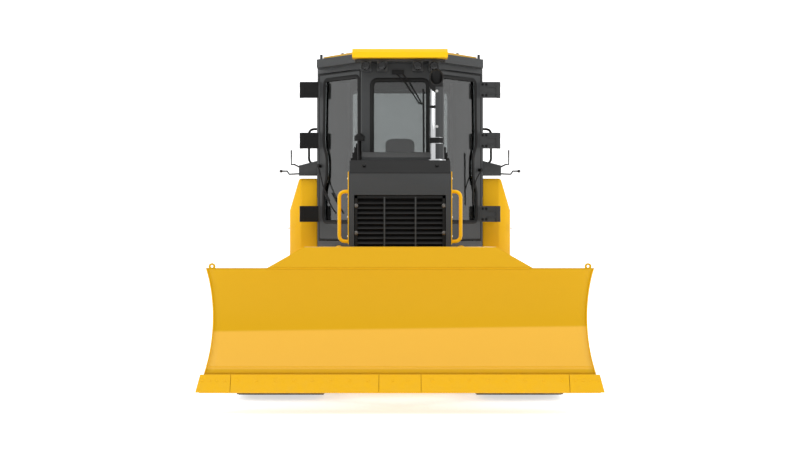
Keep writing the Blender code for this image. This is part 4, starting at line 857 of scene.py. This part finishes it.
housings = [box_table((x - 0.05, 1.425, 2.93), (x + 0.05, 1.519, 3.03)) for x, _, _ in rear_places]
new_piece("rear_lamp_housings", housings, black_paint, angle=30, rounding=0.008)
print("lamps:", len(front_places) + len(rear_places))

# %% [markdown]
# ## Grille and hood front
# The grille's slats lean back so that rain runs off. Every slat is the same leaning strip, and two grey
# uprights hold them. Knobs on the frame turn to release it for cleaning.

# %% Grille
GRILLE_HALF, GRILLE_LOW, GRILLE_HIGH, GRILLE_Y, GRILLE_DEEP = 0.397, 1.026, 1.787, -1.142, 0.036
slat = np.array([(0.004, -0.014), (0.008, -0.018), (0.032, 0.012), (0.028, 0.016)]) + [GRILLE_Y, 0]
slats = [prism_table(slat + [0, z], -0.385, 0.385, 0)
         for z in np.arange(GRILLE_LOW + 0.045, GRILLE_HIGH - 0.03, 0.044)]
rails = [box_table((x0, GRILLE_Y, z0), (x1, GRILLE_Y + GRILLE_DEEP, z1))
         for x0, x1, z0, z1 in ((-GRILLE_HALF, GRILLE_HALF, GRILLE_LOW, GRILLE_LOW + 0.024),
                                (-GRILLE_HALF, GRILLE_HALF, GRILLE_HIGH - 0.022, GRILLE_HIGH),
                                (-GRILLE_HALF, -GRILLE_HALF + 0.022, GRILLE_LOW, GRILLE_HIGH),
                                (GRILLE_HALF - 0.022, GRILLE_HALF, GRILLE_LOW, GRILLE_HIGH))]
grille = new_piece("grille_slats", slats + rails, black_paint, smooth=False)
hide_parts("grille")
uprights = [box_table((x - 0.007, GRILLE_Y - 0.002, GRILLE_LOW + 0.01),
                      (x + 0.007, GRILLE_Y + 0.004, GRILLE_HIGH - 0.01)) for x in (-0.137, 0.137)]
new_piece("grille_uprights", uprights, grey_paint, smooth=False)
release = turned_table([(0, 0.016), (0.010, 0.015), (0.013, 0.010), (0.013, 0.002), (0.018, 0.0), (0, 0)], 16)
release_places = [(x, GRILLE_Y - 0.0005, z) for x in (-0.386, 0.386) for z in (1.70, 1.46, 1.15)]
new_piece("grille_knobs", [stood(release, release_places, FRONT)], worn_steel)

# %% Hood's black brow, corner bolts, side strips and stepped brackets
HOOD_TOP, GUARD_SIDE_X, STRIP_X = 2.1006, 0.4502, 0.4585
brow = prism_table([(-1.1506, 1.9855), (-1.052, 2.1004), (-1.06, 2.1024), (-1.1535, 1.988)], -0.442, 0.442, 0)
new_piece("hood_brow", [brow], black_paint, smooth=False)
bolts("brow_bolts", [(x, -1.0979, 2.0523) for x in (-0.315, 0.325)], (0, -0.759, 0.651), 0.016, black_paint)
corner_spots = [(side * GUARD_SIDE_X, -1.085, z) for side in (-1, 1) for z in (0.70, 0.90, 1.10, 1.28, 1.90)]
bolts("guard_side_bolts", corner_spots, outwards(corner_spots), 0.010, bright_steel)
strips = [box_table((side * 0.451, -1.148, 1.36), (side * STRIP_X, -1.045, 2.0)) for side in (-1, 1)]
new_piece("yellow_side_strips", strips, yellow_paint, angle=30, rounding=0.002)
strip_spots = [(side * (STRIP_X + 0.0003), -1.075, z) for side in (-1, 1) for z in (1.43, 1.60, 1.78, 1.94)]
bolts("strip_bolts", strip_spots, outwards(strip_spots), 0.009, bright_steel)
steps = np.array([(0.395, HOOD_TOP), (0.455, HOOD_TOP), (0.455, 2.15), (0.440, 2.15), (0.440, 2.20),
                  (0.425, 2.20), (0.425, 2.25), (0.408, 2.25), (0.408, 2.285), (0.395, 2.285)])
brackets = [prism_table(steps * [side, 1], -0.345, -0.333, 1) for side in (-1, 1)]
new_piece("stepped_brackets", brackets, black_paint, smooth=False)
cowl_outline = [(-0.30, HOOD_TOP), (-0.235, HOOD_TOP), (-0.235, 2.20), (-0.262, 2.21), (-0.30, 2.16)]
new_piece("cowl", [prism_table(cowl_outline, -0.385, 0.385, 0)], grey_paint, angle=30, rounding=0.006)
print("front details made")

# %% [markdown]
# ## Exhaust
# The stack is a polished tube whose mouth is cut on a slant. Inside it is black with soot: a liner that
# ends just below the mouth, its top height being the same slant. Clamp bands and a side shield hold it.

# %% Stack liner, bands, shield and rim
STACK, MOUTH_Z, MOUTH_SLOPE, LINER_LOW = np.array([0.335, -0.47]), 2.885, 1.25, 2.31
turn = np.linspace(0, 2 * np.pi, 48, endpoint=False)


def stack_ring(radius, height):
    """48 points round the stack at a height, which can differ from point to point."""
    return np.c_[STACK[0] + radius * np.cos(turn), STACK[1] + radius * np.sin(turn), np.broadcast_to(height, 48)]


def mouth_height(radius):
    """Height of the slanting mouth at each point of a ring."""
    return MOUTH_Z + MOUTH_SLOPE * radius * np.sin(turn)


liner_top = mouth_height(0.0572) - 0.004
rise = np.linspace(0, 1, 10)
soot = np.stack([stack_ring(0.0, LINER_LOW)]
                + [stack_ring(0.0572, LINER_LOW + t * (liner_top - LINER_LOW)) for t in rise]
                + [stack_ring(0.0545, liner_top - t * (liner_top - LINER_LOW - 0.01)) for t in rise]
                + [stack_ring(0.0, LINER_LOW + 0.01)])
new_piece("stack_liner", [(soot.reshape(-1, 3), table_faces(len(soot), 48, wrap_columns=True))], black_paint)
bands = [turned_table([(0.0636, low), (out, low), (out, high), (0.0636, high)], 48, (*STACK, 0), closed=True)
         for low, high, out in ((2.28, 2.33, 0.069), (2.60, 2.625, 0.067))]
new_piece("stack_bands", bands, black_paint, angle=30)
around = np.radians(np.linspace(-99, 25, 26))
shield_arcs = [r * np.c_[np.cos(a), np.sin(a)] for r, a in ((0.0705, around), (0.0672, around[::-1]))]
shield = [prism_table(np.vstack(shield_arcs) + STACK, low, high, 2) for low, high in ((2.335, 2.795), (2.135, 2.275))]
new_piece("stack_shield", shield, grey_paint)
bolts("stack_bolts", [(0.337, -0.5408, z) for z in (2.755, 2.43)], FRONT, 0.010, bright_steel)
rim = np.stack([stack_ring(r, mouth_height(r) + lift)
                for r, lift in ((0.0637, -0.060), (0.0655, -0.060), (0.0655, 0.001), (0.0560, 0.001),
                                (0.0560, -0.003), (0.0637, -0.003))])
rim_faces = table_faces(len(rim), 48, wrap_rows=True, wrap_columns=True)
new_piece("stack_rim", [(rim.reshape(-1, 3), rim_faces)], black_paint)
print("exhaust made")

# %% [markdown]
# ## Seat and cab controls
# A cushion is a crowned closed form. Its outline is a superellipse, |x/a|^n + |y/b|^n = 1, its thickness
# falls to nothing at the piping, and sewn channels press shallow grooves into the upper side.

# %% Padded seat
def cushion(half_wide, half_long, thick, channels=3, square=5.0, dish=0.0, rows=22, columns=96):
    """x = a r c(t), y = b r s(t), z = +-(thick / 2)(1 - r^4)^(1/2) less the grooves."""
    t = np.linspace(0, 2 * np.pi, columns, endpoint=False)
    c, s = np.cos(t), np.sin(t)
    reach = (np.abs(c) ** square + np.abs(s) ** square) ** (-1 / square) * (1 - 0.03 * np.cos(4 * t))
    r = np.sin(np.linspace(0, np.pi / 2, rows))
    rings = np.concatenate([r, r[-2::-1]])[:, None]
    up = np.concatenate([np.ones(rows), -np.ones(rows - 1)])[:, None]
    x, y = half_wide * rings * c * reach, half_long * rings * s * reach
    z = up * (thick / 2) * np.sqrt(np.maximum(1 - rings ** 4, 0))
    groove = np.zeros_like(x)
    for place in np.linspace(-0.55, 0.55, channels):
        groove += np.exp(-((x - place * half_wide) / 0.006) ** 2)
    z = z - np.where(up > 0, 1, 0) * (0.010 * groove * (1 - rings ** 6) + dish * (1 - rings ** 2))
    points = np.stack([x, y, z], -1)
    return points.reshape(-1, 3), table_faces(len(rings), columns, wrap_columns=True)


def placed(table, centre, lean):
    """The table turned about x by lean degrees and moved to centre."""
    a = np.radians(lean)
    turn = np.array([[1, 0, 0], [0, np.cos(a), -np.sin(a)], [0, np.sin(a), np.cos(a)]])
    return table[0] @ turn.T + centre, table[1]


pads = (("seat_cushion", cushion(0.245, 0.245, 0.135, 3, dish=0.012), (0, 0.70, 1.683), 4, 0.85),
        ("seat_back", cushion(0.235, 0.255, 0.125, 3, square=4.0, dish=0.008), (0, 0.985, 1.965), 73, 0.85),
        ("seat_headrest", cushion(0.150, 0.105, 0.10, 0, square=3.0), (0, 1.075, 2.300), 76, 0.9))
for name, table, centre, lean, fill in pads:
    piece = new_piece(name, [placed(table, centre, lean)], seat_cloth, angle=60)
shell = [box_table((-0.23, 0.54, 1.352), (0.23, 0.96, 1.40)), box_table((-0.17, 0.58, 1.40), (0.17, 0.93, 1.56)),
         box_table((-0.235, 0.52, 1.56), (0.235, 0.95, 1.612))]
base = new_piece("seat_base", shell, dark_plastic, angle=30, rounding=0.010)
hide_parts("seat")
posts = [bar_table([(x, 1.06, 2.14), (x, 1.075, 2.26)], 0.007, 10) for x in (-0.06, 0.06)]
arms = [bar_table([(x, 0.96, 1.76), (x, 0.98, 1.93), (x, 0.92, 1.955), (x, 0.62, 1.955)], 0.016)
        for x in (-0.262, 0.262)]
new_piece("seat_frame", posts + arms, dark_plastic, angle=50)

# %% Consoles, levers and instruments
consoles = [box_table((side * 0.35, 0.50, 1.3505), (side * 0.50, 1.02, 1.80)) for side in (-1, 1)]
new_piece("consoles", consoles, dark_plastic, angle=30, rounding=0.02, segments=3)
boot = turned_table([(0, 0.085), (0.014, 0.08), (0.022, 0.055), (0.018, 0.05), (0.032, 0.028), (0.028, 0.022),
                     (0.045, 0.0), (0, 0)], 20)
stick = turned_table([(0, 0.20), (0.014, 0.197), (0.021, 0.18), (0.021, 0.15), (0.014, 0.13), (0.009, 0.12),
                      (0.008, 0.06), (0, 0.06)], 20)
stick_places = [(x, 0.60, 1.8005) for x in (-0.425, 0.425)]
new_piece("lever_boots", [scattered(boot, stick_places)], seal_rubber)
new_piece("levers", [scattered(stick, stick_places)], dark_plastic)
gauge = turned_table([(0, 0.003), (0.036, 0.003), (0.038, 0.010), (0.043, 0.010), (0.045, 0.0), (0, 0)], 28)
gauge_places = [(x, 0.0205, 1.955) for x in (-0.17, -0.06, 0.06, 0.17)]
new_piece("gauges", [stood(gauge, gauge_places, REAR)], black_paint)
mirror = [bar_table([(0.0, -0.150, 2.93), (0.0, -0.06, 2.88)], 0.006, 8),
          box_table((-0.10, -0.075, 2.80), (0.10, -0.06, 2.87))]
new_piece("cab_mirror", mirror, black_paint, angle=30, rounding=0.004)
rear_post = np.array([(0.508, 1.345), (0.508, 1.337), (0.538, 1.337), (0.716, 1.118), (0.724, 1.122), (0.545, 1.345)])
trims = [prism_table(rear_post * [side, 1], 1.36, 2.98, 2) for side in (-1, 1)]
trims.append(box_table((-0.505, 1.337, 1.36), (0.505, 1.345, 1.74)))
new_piece("cab_trims", trims, trim_cloth, smooth=False)
print("cab fitted out")

# %% [markdown]
# ## Undercarriage and rear details
# Bolts, hubs and caps are turned profiles and small bolt tables set round circles with one cosine and
# one sine. Left and right come from the same tables.


# %% Sprocket, idler and roller details
def round_wheel(wheel, x, radius, count, start=0.0):
    """Places round a wheel's axle on both sides of the machine."""
    angles = start + np.arange(count) * 2 * np.pi / count
    return [(side * x, wheel[0] + radius * np.cos(a), wheel[1] + radius * np.sin(a))
            for side in (-1, 1) for a in angles]


def in_line(x, along, z):
    """Places in a straight row on both sides of the machine."""
    return [(side * x, y, z) for side in (-1, 1) for y in along]


for name, spots, radius, steel in (
        ("sprocket_bolts", round_wheel(SPROCKET, 1.0955, 0.215, 12), 0.014, worn_steel),
        ("hub_bolts", round_wheel(SPROCKET, 1.2305, 0.10, 6), 0.010, bright_steel),
        ("idler_bolts", round_wheel(IDLER, 1.1655, 0.18, 6, 0.3), 0.012, worn_steel),
        ("roller_frame_bolts", in_line(1.1955, np.linspace(-0.42, 1.10, 9), 0.40), 0.012, worn_steel),
        ("side_tank_bolts", in_line(1.0856, (0.62, 1.38), 1.05) + in_line(1.0856, (0.62, 1.38), 1.50), 0.011,
         bright_steel)):
    bolts(name, spots, outwards(spots), radius, steel)
cap = turned_table([(0, 0.020), (0.035, 0.019), (0.048, 0.012), (0.052, 0.0), (0, 0)], 28)
small_cap = (cap[0] * [0.8, 0.8, 0.7], cap[1])
idler_rim = turned_table([(0.290, 0.0), (0.290, 0.010), (0.250, 0.012), (0.244, 0.004), (0.120, 0.004),
                          (0.114, 0.016), (0.070, 0.018), (0.070, 0.0)], 56, closed=True)
axle_ends = in_line(1.1605, IDLER[:1], IDLER[1])
roller_ends = in_line(1.1855, np.linspace(-0.5415, 1.2115, 6), 0.245)
new_piece("idler_caps", [stood(cap, axle_ends, outwards(axle_ends))], worn_steel)
new_piece("idler_rims", [stood(idler_rim, axle_ends, outwards(axle_ends))], track_steel, angle=30)
new_piece("roller_caps", [stood(small_cap, roller_ends, outwards(roller_ends))], worn_steel)

# %% Tanks, tail lamps, rails and deck
TANK_Y = 2.0806  # just behind the fuel tank's rear face
fuel_cap = turned_table([(0, 2.034), (0.050, 2.034), (0.056, 2.028), (0.056, 2.004), (0.050, 1.999), (0.0, 1.999)],
                        centre=(0.6, 1.62, -0.008))
new_piece("filler_cap", [fuel_cap], black_paint, angle=30)
seams = [box_table((x - 0.006, 2.0805, 1.05), (x + 0.006, 2.087, 1.655)) for x in (-0.50, 0.50)]
seams += [box_table((-0.93, 2.0805, z - 0.006), (0.93, 2.087, z + 0.006)) for z in (1.05, 1.66)]
new_piece("tank_ribs", seams, yellow_paint, angle=30, rounding=0.002)
rear_spots = [(x, TANK_Y, z) for x in (-0.955, 0.955) for z in np.linspace(1.08, 1.62, 5)]
bolts("tank_bolts", rear_spots, REAR, 0.011, bright_steel)
tail = turned_table([(0, 0.030), (0.030, 0.029), (0.042, 0.024), (0.046, 0.010), (0.050, 0.0), (0, 0)], 28)
new_piece("tail_lamps", [stood(tail, [(x, TANK_Y, 1.58) for x in (-0.74, 0.74)], REAR)], red_lens)
louvres = [box_table((-0.30, TANK_Y, z), (0.30, 2.092, z + 0.018)) for z in np.linspace(1.25, 1.60, 9)]
new_piece("rear_louvres", louvres, black_paint, smooth=False)
grab_rails = [bar_table([(x, 2.075, 1.12), (x, 2.135, 1.12), (x, 2.135, 1.50), (x, 2.075, 1.50)], 0.012)
              for x in (-0.86, 0.86)]
new_piece("rear_grab_rails", grab_rails, black_paint)
treads = [box_table((side * 1.10, y, 0.9855), (side * 1.38, y + 0.012, 0.991))
          for side in (-1, 1) for y in np.linspace(-0.15, 1.95, 43)]
new_piece("deck_treads", treads, black_paint, smooth=False)
LATCH_Y, DOOR_X, LATCH_X, LOUVRE_X = -0.375, 0.4582, 0.4615, 0.4655
for side_name, side in SIDES:
    door = "engine_door_" + side_name
    pull = [(side * x, LATCH_Y, z) for x, z in ((0.460, 1.655), (0.472, 1.665), (0.472, 1.695), (0.460, 1.705))]
    latch = [box_table((side * DOOR_X, -0.395, 1.64), (side * LATCH_X, -0.355, 1.72)), bar_table(pull, 0.005, 8)]
    new_piece("engine_door_latch_" + side_name, latch, black_paint, door, angle=30)
    slot_x = LOUVRE_X if side > 0 else -LATCH_X
    slots = [box_table((side * DOOR_X, -0.90, z), (slot_x, -0.55, z + 0.014)) for z in np.linspace(1.50, 1.86, 10)]
    new_piece("engine_door_louvres_" + side_name, slots, black_paint, door, smooth=False)
print("undercarriage and rear details made")
